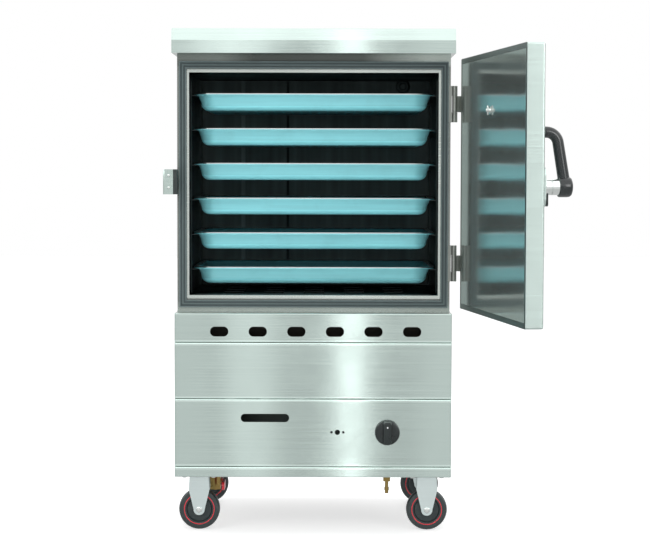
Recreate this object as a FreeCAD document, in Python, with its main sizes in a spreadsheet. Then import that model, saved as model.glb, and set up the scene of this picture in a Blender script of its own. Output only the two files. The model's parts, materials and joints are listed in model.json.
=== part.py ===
import FreeCAD, Part
import math
import os

import Sketcher

# Rice steamer cabinet: six perforated trays in an insulated steam chamber over a gas-fired water tank.
# The frame has +Z up, +X to the right and the front towards -Y. The origin is on the floor, under the
# middle of the four castors. The door stands open, as in the reference view.

doc = FreeCAD.newDocument("rice_steamer_cabinet")
sheet = doc.addObject("Spreadsheet::Sheet", "sizes")


class Length:
    """A size or place: its value in millimetres or degrees, and the formula that gives it from the sheet."""

    def __init__(self, value, formula):
        self.value = float(value)
        self.formula = formula

    def __add__(self, other):
        other = length(other)
        return Length(self.value + other.value, f"({self.formula} + {other.formula})")

    def __sub__(self, other):
        other = length(other)
        return Length(self.value - other.value, f"({self.formula} - {other.formula})")

    def __mul__(self, other):
        other = length(other)
        return Length(self.value * other.value, f"({self.formula} * {other.formula})")

    def __truediv__(self, other):
        other = length(other)
        return Length(self.value / other.value, f"({self.formula} / {other.formula})")

    def __neg__(self):
        return Length(-self.value, f"(0 - {self.formula})")

    def __radd__(self, other):
        return length(other) + self

    def __rsub__(self, other):
        return length(other) - self

    def __rmul__(self, other):
        return length(other) * self


def length(value):
    """A plain number as a Length."""
    if isinstance(value, Length):
        return value
    return Length(value, f"({float(value)!r})")


def cosine(angle):
    return Length(math.cos(math.radians(angle.value)), f"cos({angle.formula} * 1 deg)")


def sine(angle):
    return Length(math.sin(math.radians(angle.value)), f"sin({angle.formula} * 1 deg)")


def size(alias, value, note):
    """One driving dimension: a row of the sheet with its note, value and alias."""
    size.row += 1
    sheet.set(f"A{size.row}", note)
    sheet.set(f"B{size.row}", str(value))
    sheet.setAlias(f"B{size.row}", alias)
    return Length(value, f"sizes.{alias}")


size.row = 0

# Driving dimensions: overall stack
CASTOR_HEIGHT = size("castor_height", 136, "floor to underside of base")
BASE_HEIGHT = size("base_height", 398, "burner base, bottom to deck")
CASING_HEIGHT = size("casing_height", 625, "steam chamber casing, deck to canopy")
CANOPY_HEIGHT = size("canopy_height", 59, "canopy, underside to top")
BODY_WIDTH = size("body_width", 666, "steam chamber casing width")
BASE_STEP = size("base_step", 2, "burner base side beyond the casing side")
BASE_WIDTH = BODY_WIDTH + BASE_STEP * 2
CANOPY_STEP = size("canopy_step", 7, "canopy side beyond the casing side")
CANOPY_WIDTH = BODY_WIDTH + CANOPY_STEP * 2
SEAL_REACH = size("seal_reach", 203, "origin to the front of the door seal")
REAR_REACH = size("rear_reach", 290, "origin to the rear panel")
BASE_PROJECTION = size("base_projection", 56, "base front ahead of the door seal")
CANOPY_PROJECTION = size("canopy_projection", 73, "canopy front ahead of the door seal")
CANOPY_BAND = size("canopy_band", 31, "upright lower band of the canopy")
CANOPY_SETBACK = size("canopy_setback", 4, "lean of the canopy's upper band")
SHEET = size("sheet_metal", 1.5, "outer sheet thickness")
LINER = size("liner_metal", 1.2, "liner and tray rack sheet thickness")
FOLD = size("fold_width", 18, "depth of the folded front panels")
PANEL_GAP = size("panel_gap", 1.2, "gap between front panels")
SOFT_EDGE = size("soft_edge", 2.2, "rounding of folded panel edges")

# Driving dimensions: steam chamber
FRAME_SIDE = size("frame_side", 29, "casing side to the door opening")
OPENING_WIDTH = BODY_WIDTH - FRAME_SIDE * 2
SILL = size("sill", 39.8, "deck to lower edge of the opening")
FRAME_HEAD = size("frame_head", 42.2, "upper edge of the opening to the canopy")
OPENING_HEIGHT = CASING_HEIGHT - SILL - FRAME_HEAD
FRAME_LIP = size("frame_lip", 16, "depth of the lip round the opening")
SEAL_THICK = size("seal_thickness", 12, "door seal depth")
SEAL_WIDTH = size("seal_width", 17.4, "door seal band width")
SEAL_SIDE = size("seal_side", 5.6, "casing side to the seal")
SEAL_SPAN_X = BODY_WIDTH - SEAL_SIDE * 2
SEAL_FOOT = size("seal_foot", 11, "deck to lower edge of the seal")
SEAL_HEAD = size("seal_head", 16, "seal to the canopy")
SEAL_SPAN_Z = CASING_HEIGHT - SEAL_FOOT - SEAL_HEAD
BACK_SPACE = size("back_space", 30, "chamber back wall to the rear panel's outer face")
CHAMBER_DEPTH = REAR_REACH + SEAL_REACH - SEAL_THICK - BACK_SPACE
RIB = size("seal_rib", 3, "height and width of a seal rib")

# Driving dimensions: trays and racks
TRAY_COUNT = 6
CORNER_RUNS = 4
TRAY_SIDE_GAP = size("tray_side_gap", 4, "tray rim to the chamber wall")
TRAY_WIDTH = OPENING_WIDTH - TRAY_SIDE_GAP * 2
TRAY_SETBACK = size("tray_setback", 50, "frame front to tray front")
TRAY_BACK_GAP = size("tray_back_gap", 1, "tray rear to the chamber back wall")
TRAY_DEPTH = CHAMBER_DEPTH - TRAY_SETBACK - TRAY_BACK_GAP
TRAY_HEIGHT = size("tray_height", 42, "tray height")
TRAY_RIM = size("tray_rim", 15, "tray rim flange width")
TRAY_WALL = size("tray_wall", 1.2, "tray sheet thickness")
TRAY_TAPER = size("tray_taper", 8, "tray wall taper in degrees")
TRAY_CORNER = size("tray_corner", 42, "tray plan corner radius")
TRAY_LIP = size("tray_lip", 5, "turned-down lip of the rim")
TOP_RIM = size("top_rim", 48.7, "opening top to the upper tray's rim")
LOW_RIM = size("low_rim", 66.8, "lower edge of the opening to the lowest tray's rim")
TRAY_PITCH = (OPENING_HEIGHT - TOP_RIM - LOW_RIM) / (TRAY_COUNT - 1)
RACK_GAP = size("rack_gap", 0.05, "tray lip to rack ledge")
LEDGE = size("ledge_width", 14, "rack ledge width")
LEDGE_LEG = size("ledge_leg", 12, "rack ledge upright leg")

# Driving dimensions: door
DOOR_ANGLE = size("door_angle", 98.4, "door opening in the reference view, degrees")
DOOR_TRIM = size("door_trim", 11, "casing width left over by the door")
DOOR_WIDTH = BODY_WIDTH - DOOR_TRIM
DOOR_THICK = size("door_thickness", 40, "door thickness")
DOOR_LIFT = size("door_lift", 10, "deck to door bottom")
DOOR_HEAD = size("door_head", 10, "door top to the canopy")
DOOR_HEIGHT = CASING_HEIGHT - DOOR_LIFT - DOOR_HEAD
DOOR_GAP = size("door_gap", 0.3, "seal to door when shut")
DOOR_EDGE = size("door_edge", 12, "inner fold of the door skin")
PIVOT_OUT = size("pivot_out", 10, "casing side to hinge axis")
HINGE_EDGE = size("hinge_edge", 5, "casing side to the door's hinge edge")
BARREL = size("hinge_barrel", 6.5, "hinge barrel radius")
HINGE_PIN = size("hinge_pin", 3.5, "hinge pin radius")
HINGE_HEIGHT = size("hinge_height", 88, "hinge height")
KNUCKLE = size("hinge_knuckle", 39, "door knuckle height")
HINGE_LEAF = size("hinge_leaf", 2.5, "hinge leaf thickness")
HINGE_DROP = size("hinge_drop", 118, "canopy to upper hinge centre")
UPPER_HINGE = CASING_HEIGHT - HINGE_DROP
LOWER_HINGE = size("lower_hinge", 119, "deck to lower hinge centre")
FIT = size("running_fit", 0.05, "radial clearance of turning pins")
SLACK = size("slack", 0.5, "clearance between moving neighbours")

# Driving dimensions: latch handle and keeper
LATCH_INSET = size("latch_inset", 35, "door free edge to latch axis")
LATCH_DROP = size("latch_drop", 1.5, "door middle to latch axis")
LATCH_UP = DOOR_HEIGHT / 2 - LATCH_DROP
PLATE_HEIGHT = size("latch_plate_height", 88, "latch base plate height")
PLATE_WIDTH = size("latch_plate_width", 46, "latch base plate width")
PLATE_THICK = size("latch_plate_thickness", 6, "latch base plate thickness")
STEM_R = size("stem_radius", 17.5, "latch stem radius")
STEM_LONG = size("stem_length", 34, "latch stem length")
CAM_REACH = size("cam_reach", 42, "latch axis to cam tip")
CAM_THICK = size("cam_thickness", 4, "cam plate thickness")
CAM_WIDTH = size("cam_width", 22, "cam plate width")
BOSS_R = size("boss_radius", 22, "grip boss radius")
BOSS_LONG = size("boss_length", 30, "grip boss length")
GRIP_R = size("grip_radius", 12.2, "grip bar radius")
GRIP_UP = size("grip_height", 116, "latch axis to the top run of the grip")
GRIP_BEND = size("grip_bend", 26, "bend radius of the grip")
GRIP_LEAN = size("grip_lean", 9.5, "lean of the grip towards the door, degrees")
GRIP_GAP = size("grip_gap", 6, "grip tip to door face")
KEEPER_HEIGHT = size("keeper_height", 60, "keeper height")
KEEPER_ARM = size("keeper_arm", 24, "keeper arm width")
KEEPER_FRONT = size("keeper_front", 72, "keeper front ahead of the seal")
KEEPER_FOOT = size("keeper_foot", 35, "keeper foot length on the casing")
STRIKE_WIDTH = size("strike_width", 11, "strike block width")
STRIKE_DEPTH = size("strike_depth", 14, "strike block depth")

# Driving dimensions: burner base front
VENT_FOOT = size("vent_panel_foot", 328, "base bottom to foot of the vent panel")
MIDDLE_FOOT = size("middle_panel_foot", 191, "base bottom to foot of the middle panel")
CONTROL_FOOT = size("control_panel_foot", 26, "base bottom to foot of the control panel")
VENT_COUNT = 6
VENT_PITCH = size("vent_pitch", 93.2, "spacing of the vent slots")
VENT_START = size("vent_start", -227, "first vent slot centre, across")
VENT_UP = size("vent_up", 354, "base bottom to vent slot centres")
VENT_LONG = size("vent_length", 44, "vent slot length")
VENT_R = size("vent_radius", 12, "vent slot end radius")
LIGHT_X = size("lighting_slot_x", -116.3, "lighting slot centre, across")
LIGHT_UP = size("lighting_slot_up", 144.5, "base bottom to lighting slot centre")
LIGHT_LONG = size("lighting_slot_length", 117, "lighting slot length")
LIGHT_R = size("lighting_slot_radius", 10, "lighting slot end radius")
TAP_X = size("tap_x", 180, "gas tap axis, across")
TAP_UP = size("tap_up", 110, "base bottom to gas tap axis")
IGNITER_X = size("igniter_hole_x", 59.2, "igniter hole, across")
IGNITER_R = size("igniter_hole_radius", 6.3, "igniter hole radius")
SCREW_R = size("screw_hole_radius", 3, "igniter screw hole radius")
SCREW_SPAN = size("screw_hole_span", 14.3, "igniter hole to screw hole")

# Driving dimensions: gas tap, burner and knob
KNOB_R = size("knob_radius", 30, "knob radius")
KNOB_BASE = size("knob_base", 9, "knob disc thickness")
KNOB_BAR = size("knob_bar", 22, "knob grip bar width")
KNOB_RISE = size("knob_rise", 17, "knob grip bar height above the disc")
KNOB_STANDOFF = size("knob_standoff", 4, "panel to knob")
KNOB_PRESS = size("knob_press", 3, "knob push travel")
SPINDLE_R = size("spindle_radius", 4, "knob spindle radius")
SOCKET_DEEP = size("spindle_socket", 20, "spindle socket depth in the plug")
TAP_R = size("tap_radius", 16, "gas tap body radius")
TAP_LONG = size("tap_length", 46, "gas tap body length")
PLUG_R = size("plug_radius", 9, "gas tap plug radius")
PLUG_LONG = size("plug_length", 32, "gas tap plug length")
PIPE_R = size("gas_pipe_radius", 7, "gas pipe radius")
MANIFOLD_R = size("manifold_radius", 10, "half width of the square gas manifold")
MANIFOLD_UP = size("manifold_up", 166, "base bottom to the manifold and burner bars")
BURNER_COUNT = 3
BURNER_PITCH = size("burner_pitch", 160, "burner bar spacing")
BURNER_R = size("burner_radius", 17, "burner bar radius")
BURNER_FRONT = size("burner_front", 188, "origin to the front of the burner bars")
BURNER_LONG = size("burner_length", 390, "burner bar length")
NOZZLE_LONG = size("nozzle_length", 44, "hose nozzle below the base")
NOZZLE_R = size("nozzle_radius", 4.2, "hose nozzle tip radius")
BARB_R = size("barb_radius", 5.5, "hose nozzle barb radius")
NOZZLE_COLLAR = size("nozzle_collar", 8.5, "hose nozzle collar radius")

# Driving dimensions: steam plate over the tank
PLATE_COLUMNS = 5
PLATE_PITCH_X = size("plate_pitch_x", 100, "steam plate slot spacing, across")
PLATE_PITCH_Y = size("plate_pitch_y", 100, "steam plate slot spacing, front to rear")

# Driving dimensions: water tank, drain and float
TANK_SIDE_GAP = size("tank_side_gap", 17, "tank side to the chamber wall above it")
TANK_WIDTH = OPENING_WIDTH - TANK_SIDE_GAP * 2
TANK_FRONT_GAP = size("tank_front_gap", 24, "frame front to tank front")
TANK_FRONT = SEAL_REACH - SEAL_THICK - TANK_FRONT_GAP
TANK_BACK_GAP = size("tank_back_gap", 13, "tank rear to the chamber back wall")
TANK_LONG = CHAMBER_DEPTH - TANK_FRONT_GAP - TANK_BACK_GAP
TANK_DEEP = size("tank_deep", 172, "water tank height")
DRAIN_INSET = size("drain_inset", 43.4, "tank side to the drain pipe")
DRAIN_X = DRAIN_INSET - TANK_WIDTH / 2
DRAIN_SETBACK = size("drain_setback", 27, "tank front to the drain pipe")
DRAIN_Y = DRAIN_SETBACK - TANK_FRONT
DRAIN_R = size("drain_pipe_radius", 10.6, "drain pipe radius")
DRAIN_BORE = size("drain_bore", 7.5, "drain pipe bore radius")
VALVE_DROP = size("valve_drop", 28, "base bottom to drain valve axis")
COCK_R = size("cock_plug_radius", 10.2, "drain cock plug radius")
COCK_LONG = size("cock_plug_length", 24, "drain cock plug length")
OUTLET_R = size("outlet_radius", 9.3, "drain outlet tapping radius")
OUTLET_LONG = size("outlet_length", 8, "drain outlet tapping length")
LEVER_LONG = size("lever_length", 88, "drain lever length")
LEVER_WIDE = size("lever_width", 20, "drain lever width")
FLOAT_R = size("float_radius", 28, "float drum radius")
FLOAT_WIDE = size("float_width", 60, "float drum length")
FLOAT_INSET = size("float_inset", 34, "tank rear to the float arm's pivot")
FLOAT_SIDE = size("float_side", 82, "tank side to the float arm")
FLOAT_X = TANK_WIDTH / 2 - FLOAT_SIDE
FLOAT_DROP = size("float_drop", 54, "tank rim to the float arm's pivot")
FLOAT_LONG = size("float_length", 130, "float pivot to drum centre")
FLOAT_INLET_R = size("water_inlet_radius", 10.4, "water inlet thread radius")
FLOAT_NECK_R = size("float_neck_radius", 9.4, "float valve body radius inside the casing")
FLOAT_INLET_LONG = size("water_inlet_length", 14, "water inlet thread length")

# Driving dimensions: steam outlet
STEAM_R = size("steam_outlet_radius", 8.3, "steam outlet tube radius")
STEAM_SIDE = size("steam_outlet_side", 71.2, "chamber wall to the steam outlet")
STEAM_X = OPENING_WIDTH / 2 - STEAM_SIDE
STEAM_DROP = size("steam_outlet_drop", 14, "opening top to steam outlet")
STEAM_OUT = size("steam_outlet_out", 18, "rear panel to the end of the steam outlet")
SPIGOT_R = size("steam_spigot_radius", 10.5, "steam outlet spigot radius behind the rear panel")

# Driving dimensions: castors
CASTOR_INSET = size("castor_inset", 56.5, "base side to castor middle")
CASTOR_PITCH_X = BASE_WIDTH - CASTOR_INSET * 2
CASTOR_PITCH_Y = size("castor_pitch_y", 400, "castor spacing front to rear")
WHEEL_R = size("wheel_radius", 50, "wheel radius")
WHEEL_WIDE = size("wheel_width", 32, "wheel width")
AXLE_R = size("axle_radius", 5, "axle radius")
AXLE_OUT = size("axle_out", 4, "axle end beyond the fork")
FORK_TOP = size("fork_top", 46.5, "fork width at the plate")
FORK_WAIST = size("fork_waist", 51, "fork width at its widest")
FORK_TIP = size("fork_tip", 27, "fork tip width")
FORK_METAL = size("fork_metal", 3, "fork sheet thickness")
PLATE_X = size("castor_plate_x", 95, "castor plate, across")
PLATE_Y = size("castor_plate_y", 66, "castor plate, front to rear")

# Levels and faces that several parts share
BASE_TOP = CASTOR_HEIGHT + BASE_HEIGHT
CASING_TOP = BASE_TOP + CASING_HEIGHT
TOP = CASING_TOP + CANOPY_HEIGHT
SEAL_Y = -SEAL_REACH
FRAME_Y = SEAL_Y + SEAL_THICK
BASE_Y = SEAL_Y - BASE_PROJECTION
CANOPY_Y = SEAL_Y - CANOPY_PROJECTION
PAN_Y = BASE_Y + FOLD
REAR_Y = REAR_REACH
SIDE = BODY_WIDTH / 2
BASE_SIDE = BASE_WIDTH / 2
OPEN_X = OPENING_WIDTH / 2
OPEN_LOW = BASE_TOP + SILL
OPEN_TOP = OPEN_LOW + OPENING_HEIGHT
BACK_Y = FRAME_Y + CHAMBER_DEPTH
LIP_Y = FRAME_Y + SHEET + FRAME_LIP
PIVOT_X = SIDE + PIVOT_OUT
PIVOT_Y = FRAME_Y
DOOR_X = SIDE - HINGE_EDGE
DOOR_IN = SEAL_Y - DOOR_GAP
DOOR_OUT = DOOR_IN - DOOR_THICK
DOOR_LOW = BASE_TOP + DOOR_LIFT
DOOR_HIGH = DOOR_LOW + DOOR_HEIGHT
LATCH_X = DOOR_X - DOOR_WIDTH + LATCH_INSET
LATCH_Z = DOOR_LOW + LATCH_UP
TAP_Z = CASTOR_HEIGHT + TAP_UP
TAP_FRONT = BASE_Y + FOLD / 2
TAP_Y = TAP_FRONT + TAP_LONG - TAP_R
MANIFOLD_Z = CASTOR_HEIGHT + MANIFOLD_UP
FLOOR_TOP = CASTOR_HEIGHT + SHEET
TANK_TOP = OPEN_LOW - LINER
TANK_LOW = TANK_TOP - TANK_DEEP
TANK_BACK = TANK_LONG - TANK_FRONT
VALVE_Z = CASTOR_HEIGHT - VALVE_DROP
VENT_Z = CASTOR_HEIGHT + VENT_UP
STEAM_Z = OPEN_TOP - STEAM_DROP
FLOAT_Z = TANK_TOP - FLOAT_DROP
FLOAT_Y = TANK_BACK - FLOAT_INSET

AXES = {"X": FreeCAD.Vector(1, 0, 0), "Y": FreeCAD.Vector(0, 1, 0), "Z": FreeCAD.Vector(0, 0, 1)}
# Each sketch plane's normal, as the axis and the sign along it
PLANES = {"XY_Plane": ("Z", 1), "XZ_Plane": ("Y", -1), "YZ_Plane": ("X", 1)}
nodes = []


def bind(thing, **properties):
    """Bind properties of an object to formulas over the sheet."""
    for path, value in properties.items():
        thing.setExpression(path.replace("__", "."), length(value).formula)


def place(thing, x=0, y=0, z=0):
    bind(thing, Placement__Base__x=x, Placement__Base__y=y, Placement__Base__z=z)
    return thing


def node(thing, name):
    """Mark an object as a finished sub-part."""
    thing.Label = name
    nodes.append(thing)
    return thing


def block(x, y, z, name="block"):
    """A box between two places on each axis."""
    box = doc.addObject("Part::Box", name)
    bind(box, Length=x[1] - x[0], Width=y[1] - y[0], Height=z[1] - z[0])
    return place(box, x[0], y[0], z[0])


def rod(axis, start, radius, long, name="rod"):
    """A cylinder from a start point, along an axis."""
    cylinder = doc.addObject("Part::Cylinder", name)
    bind(cylinder, Radius=radius, Height=long)
    turn = FreeCAD.Rotation(AXES["Z"], AXES[axis])
    cylinder.Placement = FreeCAD.Placement(FreeCAD.Vector(0, 0, 0), turn)
    return place(cylinder, *start)


def fuse(*things, name="fusion"):
    fusion = doc.addObject("Part::MultiFuse", name)
    fusion.Shapes = list(things)
    fusion.Refine = True
    return fusion


def cut(base, *tools, name="cutting"):
    cutting = doc.addObject("Part::Cut", name)
    cutting.Base = base
    cutting.Tool = tools[0] if len(tools) == 1 else fuse(*tools, name=name + "_tools")
    cutting.Refine = True
    return cutting


def body(name):
    return doc.addObject("PartDesign::Body", name)


def origin_plane(owner, role):
    return next(f for f in owner.Origin.OriginFeatures if f.Role == role)


def new_sketch(owner, plane, level=0):
    """A sketch on one of the body's own planes, lifted to a level along that plane's axis."""
    sketch = owner.newObject("Sketcher::SketchObject", owner.Name + "_sketch")
    sketch.AttachmentSupport = [(origin_plane(owner, plane), "")]
    sketch.MapMode = "FlatFace"
    sign = PLANES[plane][1]
    bind(sketch, AttachmentOffset__Base__z=level if sign > 0 else -length(level))
    return sketch


def fix_point(sketch, geometry, end, x, y):
    """Tie a point of the sketch to its place."""
    for kind, value in (("DistanceX", x), ("DistanceY", y)):
        value = length(value)
        index = sketch.addConstraint(
            Sketcher.Constraint(kind, -1, 1, geometry, end, value.value)
        )
        sketch.setExpression(f"Constraints[{index}]", value.formula)


def fix_radius(sketch, geometry, radius):
    radius = length(radius)
    index = sketch.addConstraint(Sketcher.Constraint("Radius", geometry, radius.value))
    sketch.setExpression(f"Constraints[{index}]", radius.formula)


def join(sketch, first, first_end, second, second_end):
    sketch.addConstraint(
        Sketcher.Constraint("Coincident", first, first_end, second, second_end)
    )


def outline(sketch, points):
    """A closed outline of straight runs. A point with a third value has that corner radius."""
    corners = [(length(p[0]), length(p[1]), length(p[2] if len(p) > 2 else 0)) for p in points]
    stops = []
    for i, (x, y, radius) in enumerate(corners):
        if not radius.value:
            stops.append([(x, y)])
            continue
        ends = []
        for other in (corners[i - 1], corners[(i + 1) % len(corners)]):
            dx = other[0].value - x.value
            dy = other[1].value - y.value
            if abs(dx) > abs(dy):
                ends.append((x + radius * math.copysign(1, dx), y))
            else:
                ends.append((x, y + radius * math.copysign(1, dy)))
        stops.append(ends)
    first = previous = None
    for i, ends in enumerate(stops):
        if len(ends) == 2:
            (x0, y0), (x1, y1) = ends
            x, y, radius = corners[i]
            sx = x0.value + x1.value - x.value
            sy = y0.value + y1.value - y.value
            bow = radius.value / math.sqrt(2)
            mx = sx + (x.value - sx) / radius.value * bow
            my = sy + (y.value - sy) / radius.value * bow
            arc = Part.Arc(
                FreeCAD.Vector(x0.value, y0.value, 0),
                FreeCAD.Vector(mx, my, 0),
                FreeCAD.Vector(x1.value, y1.value, 0),
            )
            index = sketch.addGeometry(arc, False)
            left_turn = (x1.value - x0.value) * (sy - y0.value) - (y1.value - y0.value) * (sx - x0.value) > 0
            near, far = (1, 2) if left_turn else (2, 1)
            if previous is not None:
                join(sketch, previous[0], previous[1], index, near)
            else:
                first = (index, near)
                fix_point(sketch, index, near, x0, y0)
            fix_radius(sketch, index, radius)
            previous = (index, far)
        start = ends[-1]
        stop = stops[(i + 1) % len(stops)][0]
        run = sketch.addGeometry(
            Part.LineSegment(
                FreeCAD.Vector(start[0].value, start[1].value, 0),
                FreeCAD.Vector(stop[0].value, stop[1].value, 0),
            ),
            False,
        )
        if previous is not None:
            join(sketch, previous[0], previous[1], run, 1)
            fix_point(sketch, run, 1, *start)
        else:
            first = (run, 1)
            fix_point(sketch, run, 1, *start)
        if i + 1 < len(stops):
            if len(stops[i + 1]) == 2:
                fix_point(sketch, run, 2, *stop)
        previous = (run, 2)
    join(sketch, previous[0], previous[1], *first)


def circle(sketch, x, y, radius):
    centre = FreeCAD.Vector(length(x).value, length(y).value, 0)
    index = sketch.addGeometry(Part.Circle(centre, AXES["Z"], length(radius).value), False)
    fix_point(sketch, index, 3, x, y)
    fix_radius(sketch, index, radius)


def rectangle(x, y, radius=0):
    """The four corners between two places on each axis."""
    return [(x[0], y[0], radius), (x[1], y[0], radius), (x[1], y[1], radius), (x[0], y[1], radius)]


def hexagon(x, y, reach):
    """Six corners about a point, with the flats at a given reach."""
    corner = reach / math.cos(math.radians(30))
    turns = [math.radians(60 * step + 30) for step in range(6)]
    return [(x + corner * math.cos(turn), y + corner * math.sin(turn)) for turn in turns]


def pad(owner, plane, outlines, start, end, circles=(), taper=None):
    """Material between two levels along the plane's axis, inside the outlines."""
    sign = PLANES[plane][1]
    sketch = new_sketch(owner, plane, start if sign > 0 else end)
    for points in outlines:
        outline(sketch, points)
    for item in circles:
        circle(sketch, *item)
    feature = owner.newObject("PartDesign::Pad", owner.Name + "_pad")
    feature.Profile = sketch
    bind(feature, Length=end - start)
    if taper is not None:
        bind(feature, TaperAngle=taper)
    return owner


def pocket(owner, plane, start, end, outlines=(), circles=(), taper=None):
    """An opening between two levels along the plane's axis."""
    doc.recompute()
    before = owner.Shape.Volume
    sign = PLANES[plane][1]
    sketch = new_sketch(owner, plane, end if sign > 0 else start)
    for points in outlines:
        outline(sketch, points)
    for item in circles:
        circle(sketch, *item)
    feature = owner.newObject("PartDesign::Pocket", owner.Name + "_pocket")
    feature.Profile = sketch
    bind(feature, Length=end - start)
    if taper is not None:
        bind(feature, TaperAngle=taper)
    doc.recompute()
    if owner.Shape.Volume > before - 0.01:
        raise RuntimeError(f"an opening in {owner.Name} cuts nothing")
    return feature


def row(owner, feature, plane_axis, pitch, count):
    """Repeat a feature along the horizontal axis of its sketch."""
    pattern = owner.newObject("PartDesign::LinearPattern", owner.Name + "_row")
    pattern.Originals = [feature]
    pattern.Direction = (feature.Profile[0], [plane_axis])
    bind(pattern, Length=pitch * (count - 1))
    pattern.Occurrences = count
    owner.Tip = pattern
    doc.recompute()
    return pattern


def turned(owner, plane, points, axis, angle=360):
    """A solid of revolution: an outline turned about an axis of its sketch."""
    sketch = new_sketch(owner, plane)
    outline(sketch, points)
    feature = owner.newObject("PartDesign::Revolution", owner.Name + "_turning")
    feature.Profile = sketch
    feature.ReferenceAxis = (sketch, [axis])
    feature.Angle = angle
    return owner


def rounded(owner, radius, choose):
    """Round the edges that choose() accepts, given each edge's middle and its unit direction."""
    doc.recompute()
    names = []
    for index, edge in enumerate(owner.Shape.Edges):
        first, last = edge.ParameterRange
        middle = edge.valueAt((first + last) / 2)
        along = edge.tangentAt((first + last) / 2)
        if choose(middle, along):
            names.append(f"Edge{index + 1}")
    if not names:
        raise RuntimeError(f"no edge of {owner.Name} to round")
    base = owner.Tip
    feature = owner.newObject("PartDesign::Fillet", owner.Name + "_rounding")
    feature.Base = (base, names)
    bind(feature, Radius=radius)
    owner.Tip = feature
    doc.recompute()
    return owner


def hollow(owner, wall, choose):
    """Shell the body inwards, open at the faces whose centre choose() accepts."""
    doc.recompute()
    names = [
        f"Face{i + 1}" for i, face in enumerate(owner.Shape.Faces) if choose(face.CenterOfMass)
    ]
    base = owner.Tip
    feature = owner.newObject("PartDesign::Thickness", owner.Name + "_shell")
    feature.Base = (base, names)
    feature.Mode = "Skin"
    feature.Join = "Arc"
    feature.Reversed = True
    bind(feature, Value=wall)
    owner.Tip = feature
    doc.recompute()
    return owner


def near(a, b, tolerance=0.01):
    return abs(a - length(b).value) < tolerance


def upright(along):
    return abs(along.z) > 0.9


def hang(thing):
    """Swing a piece of the door, drawn shut, about the hinge axis to the open door."""
    turn_cos = cosine(DOOR_ANGLE)
    turn_sin = sine(DOOR_ANGLE)
    bind(
        thing,
        Placement__Base__x=PIVOT_X - (PIVOT_X * turn_cos - PIVOT_Y * turn_sin),
        Placement__Base__y=PIVOT_Y - (PIVOT_X * turn_sin + PIVOT_Y * turn_cos),
        Placement__Rotation__Angle=DOOR_ANGLE,
    )
    return thing


def burner_base():
    """The lower casing: floor, sides, deck, four folded front panels and the full-height rear panel."""
    inside = BASE_SIDE - SHEET
    floor = body("floor_pan")
    upstand = FLOOR_TOP + FOLD
    pad(
        floor,
        "XZ_Plane",
        [
            [
                (-inside, CASTOR_HEIGHT),
                (inside, CASTOR_HEIGHT),
                (inside, upstand),
                (inside - SHEET, upstand),
                (inside - SHEET, FLOOR_TOP),
                (SHEET - inside, FLOOR_TOP),
                (SHEET - inside, upstand),
                (-inside, upstand),
            ]
        ],
        PAN_Y,
        REAR_Y - SHEET,
    )
    air_x = CASTOR_PITCH_X / 2 - PLATE_X
    air_y = CASTOR_PITCH_Y / 2 - PLATE_Y
    pocket(
        floor,
        "XY_Plane",
        CASTOR_HEIGHT,
        FLOOR_TOP,
        outlines=[rectangle((-air_x, air_x), (-air_y, air_y), FOLD)],
        circles=[
            (DRAIN_X, DRAIN_Y, DRAIN_R + SLACK),
            (TAP_X, TAP_Y, PIPE_R + SLACK),
        ],
    )
    node(floor, "base_floor")

    for side, name in ((-1, "base_left_panel"), (1, "base_right_panel")):
        panel = body(name)
        web = sorted((side * inside, side * BASE_SIDE), key=lambda edge: edge.value)
        flange = sorted((side * (inside - FOLD), side * inside), key=lambda edge: edge.value)
        flange_level = BASE_TOP - SHEET
        pad(panel, "XZ_Plane", [rectangle(web, (CASTOR_HEIGHT, BASE_TOP))], PAN_Y, REAR_Y)
        pad(
            panel,
            "XZ_Plane",
            [rectangle(flange, (flange_level - SHEET, flange_level))],
            PAN_Y,
            REAR_Y - SHEET,
        )
        node(panel, name)

    deck = body("deck")
    pad(
        deck,
        "XY_Plane",
        [
            rectangle((-inside, inside), (PAN_Y, REAR_Y - SHEET)),
            rectangle(
                (-TANK_WIDTH / 2 - SLACK, TANK_WIDTH / 2 + SLACK),
                (-TANK_FRONT - SLACK, TANK_BACK + SLACK),
            ),
        ],
        BASE_TOP - SHEET,
        BASE_TOP,
    )
    node(deck, "base_deck")

    vent_low = CASTOR_HEIGHT + VENT_FOOT
    middle_low = CASTOR_HEIGHT + MIDDLE_FOOT
    control_low = CASTOR_HEIGHT + CONTROL_FOOT
    front_panel("vent_panel", vent_low, BASE_TOP)
    front_panel("middle_panel", middle_low, vent_low - PANEL_GAP)
    front_panel("control_panel", control_low, middle_low - PANEL_GAP)
    front_panel("bottom_rail", CASTOR_HEIGHT, control_low - PANEL_GAP)

    rear = body("rear")
    pad(
        rear,
        "XZ_Plane",
        [rectangle((-inside, inside), (CASTOR_HEIGHT, CASING_TOP))],
        REAR_Y - SHEET,
        REAR_Y,
    )
    louvre = pocket(
        rear,
        "XZ_Plane",
        REAR_Y - SHEET,
        REAR_Y,
        outlines=[
            rectangle(
                (VENT_START - VENT_R, VENT_START + VENT_R),
                (middle_low, vent_low),
            )
        ],
    )
    row(rear, louvre, "H_Axis", VENT_PITCH, VENT_COUNT)
    pocket(
        rear,
        "XZ_Plane",
        REAR_Y - SHEET,
        REAR_Y,
        circles=[
            (STEAM_X, STEAM_Z, STEAM_R + FIT),
            (FLOAT_X, FLOAT_Z, FLOAT_NECK_R + FIT),
        ],
    )
    node(rear, "rear_panel")


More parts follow.
